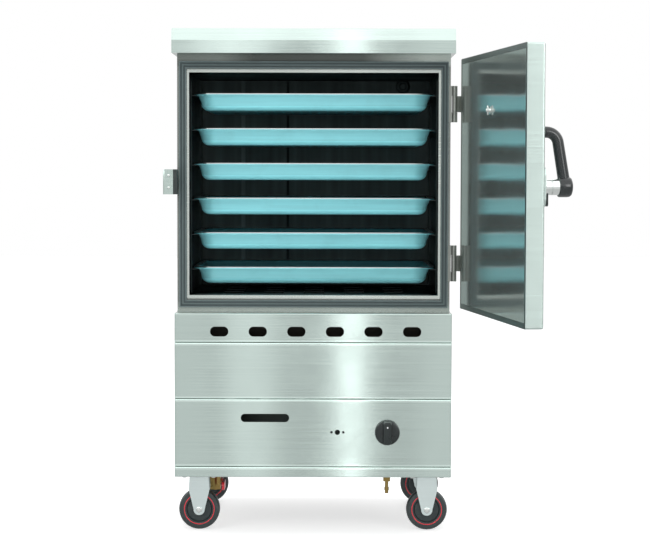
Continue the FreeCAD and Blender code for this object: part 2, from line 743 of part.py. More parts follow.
def front_panel(name, low, high):
    """One folded pan of the base front, with the openings that fall in it."""
    panel = body(name)
    pad(
        panel,
        "XZ_Plane",
        [rectangle((-BASE_SIDE, BASE_SIDE), (low, high))],
        BASE_Y,
        PAN_Y,
    )
    rounded(panel, SOFT_EDGE, lambda middle, along: near(middle.y, BASE_Y))
    hollow(panel, SHEET, lambda centre: near(centre.y, PAN_Y))
    front = (BASE_Y, BASE_Y + SHEET)
    if name == "vent_panel":
        vent = pocket(
            panel,
            "XZ_Plane",
            *front,
            outlines=[
                rectangle(
                    (VENT_START - VENT_LONG / 2, VENT_START + VENT_LONG / 2),
                    (VENT_Z - VENT_R, VENT_Z + VENT_R),
                    VENT_R - SLACK,
                )
            ],
        )
        row(panel, vent, "H_Axis", VENT_PITCH, VENT_COUNT)
    if name == "control_panel":
        light_z = CASTOR_HEIGHT + LIGHT_UP
        pocket(
            panel,
            "XZ_Plane",
            *front,
            outlines=[
                rectangle(
                    (LIGHT_X - LIGHT_LONG / 2, LIGHT_X + LIGHT_LONG / 2),
                    (light_z - LIGHT_R, light_z + LIGHT_R),
                    LIGHT_R - SLACK,
                )
            ],
            circles=[
                (IGNITER_X, TAP_Z, IGNITER_R),
                (IGNITER_X - SCREW_SPAN, TAP_Z, SCREW_R),
                (IGNITER_X + SCREW_SPAN, TAP_Z, SCREW_R),
                (TAP_X, TAP_Z, SPINDLE_R + SLACK * 2),
            ],
        )
    node(panel, name)


def castor(name, x, y):
    """A fixed castor: pressed fork with its plate, and the wheel that turns on its axle."""
    leg_low = WHEEL_R - FORK_TIP / 2
    plate_low = CASTOR_HEIGHT - FORK_METAL
    half = WHEEL_WIDE / 2 + FORK_METAL + SLACK * 4
    inner = half - FORK_METAL
    fork = body(name + "_fork")
    pad(
        fork,
        "XZ_Plane",
        [
            [
                (-FORK_TOP / 2, plate_low),
                (-FORK_WAIST / 2, WHEEL_R * 2),
                (-FORK_TIP / 2, WHEEL_R),
                (-FORK_TIP / 2, leg_low),
                (FORK_TIP / 2, leg_low),
                (FORK_TIP / 2, WHEEL_R),
                (FORK_WAIST / 2, WHEEL_R * 2),
                (FORK_TOP / 2, plate_low),
            ]
        ],
        -half,
        half,
    )
    tip = FORK_TIP / 2 - SLACK
    rounded(
        fork,
        tip,
        lambda middle, along: near(middle.z, leg_low) and abs(along.y) > 0.9,
    )
    pocket(
        fork,
        "YZ_Plane",
        -FORK_WAIST,
        FORK_WAIST,
        outlines=[rectangle((-inner, inner), (0, plate_low - FORK_METAL))],
    )
    pad(
        fork,
        "XY_Plane",
        [rectangle((-PLATE_X / 2, PLATE_X / 2), (-PLATE_Y / 2, PLATE_Y / 2))],
        plate_low,
        CASTOR_HEIGHT,
    )
    end = half + AXLE_OUT
    axle = rod("Y", (0, -end, WHEEL_R), AXLE_R, end * 2)
    node(place(fuse(fork, axle, name=name + "_fork_and_axle"), x, y), name + "_castor_fork")

    wheel = body(name + "_wheel")
    side = WHEEL_WIDE / 2
    turned(wheel, "XY_Plane", rectangle((AXLE_R + FIT, WHEEL_R), (-side, side)), "V_Axis")
    place(wheel, x, y, WHEEL_R)
    node(wheel, name + "_wheel")


def castors():
    for front, y in (("front", -CASTOR_PITCH_Y / 2), ("rear", CASTOR_PITCH_Y / 2)):
        for hand, x in (("left", -CASTOR_PITCH_X / 2), ("right", CASTOR_PITCH_X / 2)):
            castor(f"{front}_{hand}", x, y)


def chamber_casing():
    """Side panels, the framed opening, the liner and its insulation, and the hollow canopy."""
    for side, name in ((-1, "left_side_panel"), (1, "right_side_panel")):
        panel = body(name)
        face = SIDE - SHEET
        turn = SIDE - FOLD
        back = REAR_Y - SHEET
        front = FRAME_Y + SHEET
        pad(
            panel,
            "XY_Plane",
            [
                [
                    (side * SIDE, front),
                    (side * SIDE, back),
                    (side * turn, back),
                    (side * turn, back - SHEET),
                    (side * face, back - SHEET),
                    (side * face, front + SHEET),
                    (side * turn, front + SHEET),
                    (side * turn, front),
                ]
            ],
            BASE_TOP,
            CASING_TOP,
        )
        node(panel, name)

    frame = body("door_frame")
    opening = rectangle((-OPEN_X, OPEN_X), (OPEN_LOW, OPEN_TOP))
    around = rectangle(
        (-OPEN_X - LINER, OPEN_X + LINER), (OPEN_LOW - LINER, OPEN_TOP + LINER)
    )
    pad(
        frame,
        "XZ_Plane",
        [rectangle((-SIDE, SIDE), (BASE_TOP, CASING_TOP)), opening],
        FRAME_Y,
        FRAME_Y + SHEET,
    )
    pad(frame, "XZ_Plane", [around, opening], FRAME_Y + SHEET, LIP_Y)
    node(frame, "door_frame")

    liner = body("liner")
    pad(liner, "XZ_Plane", [around], LIP_Y, BACK_Y + LINER)
    hollow(liner, LINER, lambda centre: near(centre.y, LIP_Y))
    tank_back = TANK_LONG - TANK_FRONT
    pocket(
        liner,
        "XY_Plane",
        OPEN_LOW - LINER,
        OPEN_LOW,
        outlines=[
            rectangle(
                (FOLD - TANK_WIDTH / 2, TANK_WIDTH / 2 - FOLD),
                (FOLD - TANK_FRONT, tank_back - FOLD),
            )
        ],
    )
    pocket(
        liner,
        "XZ_Plane",
        BACK_Y,
        BACK_Y + LINER,
        circles=[(STEAM_X, STEAM_Z, STEAM_R + FIT)],
    )
    node(liner, "chamber_liner")

    outer = block(
        (SHEET - SIDE, SIDE - SHEET),
        (FRAME_Y + SHEET * 2, REAR_Y - SHEET * 2),
        (BASE_TOP, CASING_TOP),
    )
    inner = block(
        (-OPEN_X - LINER, OPEN_X + LINER),
        (FRAME_Y, BACK_Y + LINER),
        (BASE_TOP - SHEET, OPEN_TOP + LINER),
    )
    vent = rod("Y", (STEAM_X, BACK_Y, STEAM_Z), STEAM_R + FIT, REAR_Y - BACK_Y)
    node(cut(outer, inner, vent, name="insulation"), "wall_insulation")

    canopy = body("canopy")
    pad(
        canopy,
        "YZ_Plane",
        [
            [
                (CANOPY_Y, CASING_TOP),
                (CANOPY_Y, CASING_TOP + CANOPY_BAND),
                (CANOPY_Y + CANOPY_SETBACK, TOP),
                (REAR_Y, TOP),
                (REAR_Y, CASING_TOP),
            ]
        ],
        -CANOPY_WIDTH / 2,
        CANOPY_WIDTH / 2,
    )
    rounded(canopy, SOFT_EDGE, lambda middle, along: near(middle.z, TOP))
    hollow(canopy, SHEET, lambda centre: near(centre.z, CASING_TOP))
    lip = FOLD + CANOPY_PROJECTION
    pad(
        canopy,
        "XY_Plane",
        [
            rectangle((-CANOPY_WIDTH / 2, CANOPY_WIDTH / 2), (CANOPY_Y, REAR_Y)),
            rectangle((FOLD - SIDE, SIDE - FOLD), (CANOPY_Y + lip, REAR_Y - FOLD)),
        ],
        CASING_TOP,
        CASING_TOP + SHEET,
    )
    node(canopy, "canopy")


def door_seal():
    """The silicone seal: a flat band with three ribs, swept round the opening with mitred corners."""
    seal = body("seal")
    half = SEAL_SPAN_X / 2
    low = BASE_TOP + SEAL_FOOT
    high = low + SEAL_SPAN_Z
    path = new_sketch(seal, "XZ_Plane", FRAME_Y)
    outline(path, rectangle((-half, half), (low, high)))
    band = new_sketch(seal, "XY_Plane", (low + high) / 2)
    back = FRAME_Y
    root = SEAL_Y + RIB
    valley = (SEAL_WIDTH - RIB * 3) / 2
    points = [(-half, back), (-half, SEAL_Y)]
    edge = -half
    for gap in range(2):
        points += [(edge + RIB, SEAL_Y), (edge + RIB, root)]
        edge = edge + RIB + valley
        points += [(edge, root), (edge, SEAL_Y)]
    points += [(edge + RIB, SEAL_Y), (edge + RIB, back)]
    outline(band, points)
    sweep = seal.newObject("PartDesign::AdditivePipe", "seal_sweep")
    sweep.Profile = band
    sweep.Spine = (path, [])
    sweep.Transition = "Right corner"
    node(seal, "door_gasket")


def racks():
    """A welded runner rack on each side wall: two posts and a ledge under every tray rim."""
    front = FRAME_Y + TRAY_SETBACK
    for side, name in ((-1, "left_runner_rack"), (1, "right_runner_rack")):
        wall = OPEN_X
        face = wall - LINER
        pieces = []
        for start in (front + LEDGE * 2, front + TRAY_DEPTH - LEDGE * 4):
            spans = sorted((side * wall, side * face), key=lambda v: v.value)
            pieces.append(
                block(spans, (start, start + LEDGE * 2), (OPEN_LOW + LINER * 2, OPEN_TOP - LEDGE))
            )
        for index in range(TRAY_COUNT):
            level = rim_level(index) - TRAY_LIP - RACK_GAP
            ledge = body(f"{name}_ledge")
            pad(
                ledge,
                "XZ_Plane",
                [
                    [
                        (side * face, level - LEDGE_LEG),
                        (side * face, level),
                        (side * (face - LEDGE), level),
                        (side * (face - LEDGE), level - LINER),
                        (side * (face - LINER), level - LINER),
                        (side * (face - LINER), level - LEDGE_LEG),
                    ]
                ],
                front,
                front + TRAY_DEPTH,
            )
            pieces.append(ledge)
        node(fuse(*pieces, name=name), name)


def rim_level(index):
    """Height of a tray's rim face, counted from the top tray."""
    return OPEN_TOP - TOP_RIM - TRAY_PITCH * index


def tray_outline(half_x, half_y, corner):
    """A rounded rectangle about the origin, each corner drawn with a few straight runs."""
    points = []
    for quarter, (x, y) in enumerate(((1, 1), (-1, 1), (-1, -1), (1, -1))):
        for step in range(CORNER_RUNS + 1):
            turn = math.radians(90 * (quarter + step / CORNER_RUNS))
            points.append(
                (
                    (half_x - corner) * x + corner * math.cos(turn),
                    (half_y - corner) * y + corner * math.sin(turn),
                )
            )
    return points


def tray_form():
    """A deep-drawn tray about its own middle: flat rim with a turned-down lip, tapered wall, floor."""
    half_x = TRAY_WIDTH / 2
    half_y = TRAY_DEPTH / 2
    rim = TRAY_CORNER + TRAY_RIM
    fall = (TRAY_HEIGHT - TRAY_WALL) * sine(TRAY_TAPER) / cosine(TRAY_TAPER)
    top_x = half_x - TRAY_RIM
    top_y = half_y - TRAY_RIM
    form = body("tray_form")
    pad(form, "XY_Plane", [tray_outline(half_x, half_y, rim)], -TRAY_LIP, length(0))
    under = tray_outline(half_x - TRAY_WALL, half_y - TRAY_WALL, rim - TRAY_WALL)
    pocket(form, "XY_Plane", -TRAY_LIP, -TRAY_WALL, outlines=[under])
    foot = tray_outline(top_x - fall, top_y - fall, TRAY_CORNER - fall)
    pad(form, "XY_Plane", [foot], -TRAY_HEIGHT, -TRAY_WALL, taper=TRAY_TAPER)
    inside = tray_outline(top_x - TRAY_WALL, top_y - TRAY_WALL, TRAY_CORNER - TRAY_WALL)
    pocket(
        form, "XY_Plane", TRAY_WALL - TRAY_HEIGHT, length(0), outlines=[inside], taper=-TRAY_TAPER
    )
    return form


def trays():
    """Six like trays, the first at the top."""
    form = tray_form()
    middle_y = FRAME_Y + TRAY_SETBACK + TRAY_DEPTH / 2
    for index in range(TRAY_COUNT):
        tray = doc.addObject("Part::Compound", f"tray_{index + 1}")
        tray.Links = [form]
        place(tray, 0, middle_y, rim_level(index))
        node(tray, f"tray_{index + 1}")


def chamber_fittings():
    """The holed floor plate over the tank and the steam outlet high on the back wall."""
    plate = body("floor_plate")
    half = OPEN_X - SLACK * 2
    front = LIP_Y + FOLD
    back = BACK_Y - FOLD
    low = OPEN_LOW
    pad(plate, "XY_Plane", [rectangle((-half, half), (front, back), FOLD)], low, low + LINER)
    slot_x = PLATE_PITCH_X / 4
    slot_y = PLATE_PITCH_Y / 3
    slots = pocket(
        plate,
        "XY_Plane",
        low,
        low + LINER,
        outlines=[
            rectangle(
                (-PLATE_PITCH_X * 2 - slot_x, -PLATE_PITCH_X * 2 + slot_x),
                (PLATE_PITCH_Y * line - slot_y, PLATE_PITCH_Y * line + slot_y),
            )
            for line in (-1, 0, 1)
        ],
    )
    row(plate, slots, "H_Axis", PLATE_PITCH_X, PLATE_COLUMNS)
    node(plate, "chamber_floor_plate")

    outlet = body("outlet_tube")
    bore = STEAM_R - LINER
    end = REAR_Y + STEAM_OUT
    turned(
        outlet,
        "XY_Plane",
        [
            (bore, BACK_Y - LINER),
            (STEAM_R, BACK_Y - LINER),
            (STEAM_R, REAR_Y),
            (SPIGOT_R, REAR_Y),
            (SPIGOT_R, end),
            (bore, end),
        ],
        "V_Axis",
    )
    place(outlet, STEAM_X, 0, STEAM_Z)
    node(outlet, "steam_outlet")


def water_side():
    """The water tank, its drain with a plug cock and lever, and the float valve that fills it."""
    tank = body("tank")
    half = TANK_WIDTH / 2
    rim = FOLD / 2
    outline = rectangle((-half, half), (-TANK_FRONT, TANK_BACK))
    cavity = rectangle((SHEET - half, half - SHEET), (SHEET - TANK_FRONT, TANK_BACK - SHEET))
    pad(tank, "XY_Plane", [outline], TANK_LOW + SHEET, TANK_TOP)
    pad(
        tank,
        "XY_Plane",
        [rectangle((-half - rim, half + rim), (-TANK_FRONT - rim, TANK_BACK + rim))],
        TANK_TOP - SHEET,
        TANK_TOP,
    )
    pocket(tank, "XY_Plane", TANK_LOW + SHEET, TANK_TOP, outlines=[cavity])
    pocket(
        tank,
        "XZ_Plane",
        TANK_BACK - SHEET,
        TANK_BACK,
        circles=[(FLOAT_X, FLOAT_Z, FLOAT_NECK_R + FIT)],
    )
    node(tank, "water_tank")

    bottom = body("tank_bottom")
    pad(bottom, "XY_Plane", [outline], TANK_LOW, TANK_LOW + SHEET)
    pocket(
        bottom,
        "XY_Plane",
        TANK_LOW,
        TANK_LOW + SHEET,
        circles=[(DRAIN_X, DRAIN_Y, DRAIN_R + FIT)],
    )
    node(bottom, "tank_floor")

    pipe_low = VALVE_Z + COCK_R + SHEET * 2
    pipe = body("pipe")
    drop = rectangle((DRAIN_BORE, DRAIN_R), (pipe_low, TANK_LOW + SHEET))
    turned(pipe, "XZ_Plane", drop, "V_Axis")
    place(pipe, DRAIN_X, DRAIN_Y)
    node(pipe, "drain_pipe")

    socket_top = pipe_low + FOLD / 2
    outlet_low = VALVE_Z - COCK_R - SHEET - OUTLET_LONG
    shell = DRAIN_R + SHEET * 2
    left = DRAIN_X - COCK_LONG / 2
    right = DRAIN_X + COCK_LONG / 2
    column = body("cock_column")
    flats = hexagon(DRAIN_X, DRAIN_Y, shell)
    pad(column, "XY_Plane", [flats], outlet_low, socket_top)
    jacket = COCK_R + SHEET * 2
    barrel = block(
        (left - SHEET, right + SHEET),
        (DRAIN_Y - jacket, DRAIN_Y + jacket),
        (VALVE_Z - jacket, VALVE_Z + jacket),
    )
    seat = rod("X", (left, DRAIN_Y, VALVE_Z), COCK_R + FIT, COCK_LONG + SHEET * 2)
    way = rod("Z", (DRAIN_X, DRAIN_Y, outlet_low), DRAIN_BORE, socket_top - outlet_low)
    tapping = rod("Z", (DRAIN_X, DRAIN_Y, outlet_low), OUTLET_R, OUTLET_LONG)
    socket = rod("Z", (DRAIN_X, DRAIN_Y, pipe_low), DRAIN_R + FIT, FOLD)
    casting = fuse(column, barrel, name="cock_casting")
    node(cut(casting, seat, way, tapping, socket, name="cock_body"), "drain_valve_body")

    lever_x = right + SHEET * 3
    plug = rod("X", (left, DRAIN_Y, VALVE_Z), COCK_R, COCK_LONG)
    stem = rod("X", (right, DRAIN_Y, VALVE_Z), SPINDLE_R, lever_x - right)
    bore = rod("Y", (DRAIN_X, DRAIN_Y - COCK_R, VALVE_Z), DRAIN_BORE - SHEET, COCK_R * 2)
    node(cut(fuse(plug, stem, name="plug_and_stem"), bore, name="cock_plug"), "drain_valve_plug")

    lever = body("lever")
    wide = LEVER_WIDE / 2
    tail = DRAIN_Y + wide
    nose = DRAIN_Y - LEVER_LONG
    crank = DRAIN_Y - LEVER_WIDE
    thick = SHEET * 2
    out = LEVER_WIDE / 2
    pad(
        lever,
        "XY_Plane",
        [
            [
                (lever_x, tail),
                (lever_x, crank),
                (lever_x + out / 2, crank - out),
                (lever_x + out / 2, nose),
                (lever_x + out / 2 + thick * 2, nose),
                (lever_x + out / 2 + thick * 2, crank - out),
                (lever_x + thick, crank),
                (lever_x + thick, tail),
            ]
        ],
        VALVE_Z - wide,
        VALVE_Z + wide,
    )
    rounded(
        lever,
        wide - SLACK,
        lambda middle, along: abs(along.x) > 0.9 and (near(middle.y, tail) or near(middle.y, nose)),
    )
    node(lever, "drain_lever")

    inlet = body("float_inlet")
    mouth = TANK_BACK - FOLD
    end = REAR_Y + FLOAT_INLET_LONG
    bore = FLOAT_NECK_R - RIB
    turned(
        inlet,
        "XY_Plane",
        [
            (bore, mouth),
            (FLOAT_NECK_R, mouth),
            (FLOAT_NECK_R, REAR_Y),
            (FLOAT_INLET_R, REAR_Y),
            (FLOAT_INLET_R, end),
            (bore, end),
        ],
        "V_Axis",
    )
    place(inlet, FLOAT_X, 0, FLOAT_Z)
    eye_reach = RIB * 2
    ears = [
        block(
            (FLOAT_X + start, FLOAT_X + start + RIB),
            (FLOAT_Y - eye_reach, mouth),
            (FLOAT_Z - eye_reach, FLOAT_Z + eye_reach),
        )
        for start in (-FLOAT_INLET_R, FLOAT_INLET_R - RIB)
    ]
    pin = rod("X", (FLOAT_X - FLOAT_INLET_R, FLOAT_Y, FLOAT_Z), RIB / 2, FLOAT_INLET_R * 2)
    node(fuse(inlet, *ears, pin, name="float_inlet_and_pin"), "float_valve")

    drum = body("float_drum")
    side = FLOAT_WIDE / 2
    turned(
        drum,
        "XY_Plane",
        [
            (-side, 0),
            (side, 0),
            (side, FLOAT_R),
            (-side, FLOAT_R),
        ],
        "H_Axis",
    )
    place(drum, FLOAT_X, FLOAT_Y - FLOAT_LONG, FLOAT_Z)
    eye = RIB + SHEET / 2
    arm = block(
        (FLOAT_X - RIB, FLOAT_X + RIB),
        (FLOAT_Y - FLOAT_LONG, FLOAT_Y + eye),
        (FLOAT_Z - eye, FLOAT_Z + eye),
    )
    hole = rod("X", (FLOAT_X - RIB, FLOAT_Y, FLOAT_Z), RIB / 2 + FIT, RIB * 2)
    node(cut(fuse(arm, drum, name="arm_and_drum"), hole, name="arm"), "float_arm")


def gas_side():
    """The hose nozzle, gas tap with its plug, the manifold and the bar burner."""
    nozzle = body("nozzle")
    low = CASTOR_HEIGHT - NOZZLE_LONG
    barb = NOZZLE_LONG / 6
    bore = NOZZLE_R - SHEET
    stop = low + barb * 4
    turned(
        nozzle,
        "XZ_Plane",
        [
            (bore, low),
            (NOZZLE_R, low),
            (NOZZLE_R, low + barb),
            (BARB_R, low + barb),
            (BARB_R, low + barb * 2),
            (NOZZLE_R, low + barb * 2),
            (NOZZLE_R, stop),
            (bore, stop),
        ],
        "V_Axis",
    )
    nut = hexagon(length(0), length(0), NOZZLE_COLLAR)
    pad(nozzle, "XY_Plane", [nut], stop, CASTOR_HEIGHT, circles=[(0, 0, bore)])
    place(nozzle, TAP_X, TAP_Y)
    node(nozzle, "gas_nozzle")

    inlet = body("inlet_pipe")
    boss_low = TAP_Z - TAP_R - SHEET
    riser = rectangle((PIPE_R - SHEET, PIPE_R), (CASTOR_HEIGHT, boss_low))
    turned(inlet, "XZ_Plane", riser, "V_Axis")
    place(inlet, TAP_X, TAP_Y)
    node(inlet, "gas_inlet_pipe")

    barrel = rod("Y", (TAP_X, TAP_FRONT, TAP_Z), TAP_R, TAP_LONG)
    neck = PIPE_R + SHEET
    throat = block(
        (TAP_X - neck, TAP_X + neck), (TAP_Y - neck, TAP_Y + neck), (boss_low, TAP_Z * 2 - boss_low)
    )
    seat = rod("Y", (TAP_X, TAP_FRONT, TAP_Z), PLUG_R, PLUG_LONG + RIB)
    node(cut(fuse(barrel, throat, name="tap_casting"), seat, name="tap_body"), "gas_tap_body")

    plug = rod("Y", (TAP_X, TAP_FRONT, TAP_Z), PLUG_R - FIT, PLUG_LONG)
    socket = rod("Y", (TAP_X, TAP_FRONT, TAP_Z), SPINDLE_R + FIT, SOCKET_DEEP)
    node(cut(plug, socket, name="tap_plug"), "gas_tap_plug")

    knob_back = BASE_Y - KNOB_STANDOFF
    start = knob_back - KNOB_BASE
    reach = TAP_FRONT + SOCKET_DEEP - KNOB_PRESS - SLACK - start
    node(rod("Y", (TAP_X, start, TAP_Z), SPINDLE_R, reach, name="spindle"), "knob_spindle")

    knob = body("knob")
    pad(knob, "XZ_Plane", [], knob_back - KNOB_BASE, knob_back, circles=[(TAP_X, TAP_Z, KNOB_R)])
    bar = KNOB_BAR / 2
    tail = KNOB_R - bar / 2
    pad(
        knob,
        "XZ_Plane",
        [
            [
                (TAP_X - bar, TAP_Z - tail),
                (TAP_X, TAP_Z - KNOB_R),
                (TAP_X + bar, TAP_Z - tail),
                (TAP_X + bar, TAP_Z + tail),
                (TAP_X, TAP_Z + KNOB_R - SLACK),
                (TAP_X - bar, TAP_Z + tail),
            ]
        ],
        knob_back - KNOB_BASE - KNOB_RISE,
        knob_back - KNOB_BASE,
    )
    pocket(knob, "XZ_Plane", knob_back - KNOB_BASE, knob_back, circles=[(TAP_X, TAP_Z, SPINDLE_R)])
    node(knob, "control_knob")

    span = BURNER_PITCH * (BURNER_COUNT - 1) / 2 + MANIFOLD_R
    main = block(
        (-span, TAP_X + MANIFOLD_R),
        (TAP_Y - MANIFOLD_R, TAP_Y + MANIFOLD_R),
        (MANIFOLD_Z - MANIFOLD_R, MANIFOLD_Z + MANIFOLD_R),
    )
    riser_low = TAP_Z * 2 - boss_low
    riser = rod("Z", (TAP_X, TAP_Y, riser_low), PIPE_R, MANIFOLD_Z - riser_low)
    mouth = -BURNER_FRONT
    middle = (BURNER_COUNT - 1) / 2
    jets = [
        rod("Y", (BURNER_PITCH * (i - middle), TAP_Y, MANIFOLD_Z), PIPE_R - SHEET, mouth - TAP_Y)
        for i in range(BURNER_COUNT)
    ]
    node(fuse(main, riser, *jets, name="manifold"), "gas_manifold")

    bars = []
    rail = span + FOLD * 2
    feet_y = (mouth + BURNER_LONG / 5, mouth + BURNER_LONG * 0.8)
    for i in range(BURNER_COUNT):
        x = BURNER_PITCH * (i - middle)
        tube = rod("Y", (x, mouth, MANIFOLD_Z), BURNER_R, BURNER_LONG)
        crown = block(
            (x - BURNER_R / 2, x + BURNER_R / 2),
            (mouth + BURNER_R * 2, mouth + BURNER_LONG - BURNER_R),
            (MANIFOLD_Z, MANIFOLD_Z + BURNER_R + RIB * 2),
        )
        bars += [tube, crown]
    for y in feet_y:
        bars.append(
            block((-rail, rail), (y, y + RIB), (MANIFOLD_Z - BURNER_R - RIB, MANIFOLD_Z - BURNER_R / 2))
        )
        for x in (-rail, rail - RIB * 4):
            bars.append(
                block((x, x + RIB * 4), (y, y + RIB), (FLOOR_TOP, MANIFOLD_Z - BURNER_R / 2))
            )
    node(fuse(*bars, name="burner"), "burner")


def door():
    """The insulated door, drawn shut and hung open: outer skin, inner panel, core and hinge halves."""
    free = DOOR_X - DOOR_WIDTH
    skin = body("door_skin")
    pad(skin, "XZ_Plane", [rectangle((free, DOOR_X), (DOOR_LOW, DOOR_HIGH))], DOOR_OUT, DOOR_IN)
    rounded(
        skin,
        SOFT_EDGE * 2,
        lambda middle, along: near(middle.y, DOOR_OUT) or abs(along.y) > 0.9,
    )
    pocket(
        skin,
        "XZ_Plane",
        DOOR_OUT + SHEET,
        DOOR_IN,
        outlines=[
            rectangle(
                (free + SHEET, DOOR_X - SHEET), (DOOR_LOW + SHEET, DOOR_HIGH - SHEET), SOFT_EDGE * 2
            )
        ],
    )
    inner_x = (free + DOOR_EDGE, DOOR_X - DOOR_EDGE)
    inner_z = (DOOR_LOW + DOOR_EDGE, DOOR_HIGH - DOOR_EDGE)
    pad(
        skin,
        "XZ_Plane",
        [
            rectangle(
                (free + SHEET, DOOR_X - SHEET), (DOOR_LOW + SHEET, DOOR_HIGH - SHEET), SOFT_EDGE * 2
            ),
            rectangle(inner_x, inner_z),
        ],
        DOOR_IN - SHEET,
        DOOR_IN,
    )
    node(hang(skin), "door_outer_skin")

    panel = body("door_inner")
    pad(
        panel,
        "XZ_Plane",
        [
            rectangle(
                (inner_x[0] + SLACK, inner_x[1] - SLACK), (inner_z[0] + SLACK, inner_z[1] - SLACK)
            )
        ],
        DOOR_IN - SHEET,
        DOOR_IN,
    )
    pad(
        panel,
        "XZ_Plane",
        [
            rectangle(
                (inner_x[0] - DOOR_EDGE / 2, inner_x[1] + DOOR_EDGE / 2),
                (inner_z[0] - DOOR_EDGE / 2, inner_z[1] + DOOR_EDGE / 2),
            )
        ],
        DOOR_IN - SHEET * 2,
        DOOR_IN - SHEET,
    )
    node(hang(panel), "door_inner_panel")

    core = body("door_core")
    pad(
        core,
        "XZ_Plane",
        [rectangle((free + RIB, DOOR_X - RIB), (DOOR_LOW + RIB, DOOR_HIGH - RIB), SOFT_EDGE)],
        DOOR_OUT + SHEET,
        DOOR_IN - SHEET * 2,
    )
    node(hang(core), "door_insulation")

    fixed = []
    swinging = []
    for up in (UPPER_HINGE, LOWER_HINGE):
        low = BASE_TOP + up - HINGE_HEIGHT / 2
        high = low + HINGE_HEIGHT
        middle = (low + high) / 2
        fixed.append(fixed_leaf(low, high, middle))
        swinging.append(swinging_leaf(low, high, middle))
    group = doc.addObject("Part::Compound", "fixed_leaves")
    group.Links = fixed
    node(group, "hinge_body_leaves")
    group = doc.addObject("Part::Compound", "swinging_leaves")
    group.Links = swinging
    node(hang(group), "hinge_door_leaves")


def fixed_leaf(low, high, middle):
    """The hinge half on the casing: leaf round the corner, two knuckles and the pin."""
    leaf = body("fixed_leaf")
    front = FRAME_Y - HINGE_LEAF
    pad(
        leaf,
        "XY_Plane",
        [
            [
                (SEAL_SPAN_X / 2 + SLACK, front),
                (SIDE + HINGE_LEAF, front),
                (SIDE + HINGE_LEAF, FRAME_Y + HINGE_HEIGHT / 2),
                (SIDE, FRAME_Y + HINGE_HEIGHT / 2),
                (SIDE, FRAME_Y),
                (SEAL_SPAN_X / 2 + SLACK, FRAME_Y),
            ]
        ],
        low,
        high,
    )
    pieces = [leaf]
    for start, end in ((low, middle - KNUCKLE / 2 - SLACK), (middle + KNUCKLE / 2 + SLACK, high)):
        pieces.append(rod("Z", (PIVOT_X, PIVOT_Y, start), BARREL, end - start))
        pieces.append(
            block((SIDE, PIVOT_X), (PIVOT_Y - HINGE_LEAF / 2, PIVOT_Y + HINGE_LEAF / 2), (start, end))
        )
    pieces.append(rod("Z", (PIVOT_X, PIVOT_Y, low), HINGE_PIN, high - low))
    return fuse(*pieces, name="hinge_half")


def swinging_leaf(low, high, middle):
    """The hinge half on the door's edge, with the middle knuckle."""
    knuckle_low = middle - KNUCKLE / 2
    knuckle_high = middle + KNUCKLE / 2
    leaf = block(
        (DOOR_X, DOOR_X + HINGE_LEAF), (DOOR_OUT + RIB, DOOR_IN - RIB), (low, high), name="leaf"
    )
    bracket = body("leaf_bracket")
    reach = DOOR_IN - RIB - HINGE_LEAF
    pad(
        bracket,
        "XY_Plane",
        [
            [
                (DOOR_X, reach),
                (PIVOT_X + HINGE_LEAF / 2, reach),
                (PIVOT_X + HINGE_LEAF / 2, PIVOT_Y),
                (PIVOT_X - HINGE_LEAF / 2, PIVOT_Y),
                (PIVOT_X - HINGE_LEAF / 2, reach + HINGE_LEAF),
                (DOOR_X, reach + HINGE_LEAF),
            ]
        ],
        knuckle_low,
        knuckle_high,
    )
    barrel = rod("Z", (PIVOT_X, PIVOT_Y, knuckle_low), BARREL, KNUCKLE)
    bore = rod("Z", (PIVOT_X, PIVOT_Y, knuckle_low), HINGE_PIN + FIT, KNUCKLE)
    return cut(fuse(leaf, bracket, barrel, name="leaf_and_knuckle"), bore, name="hinge_half")


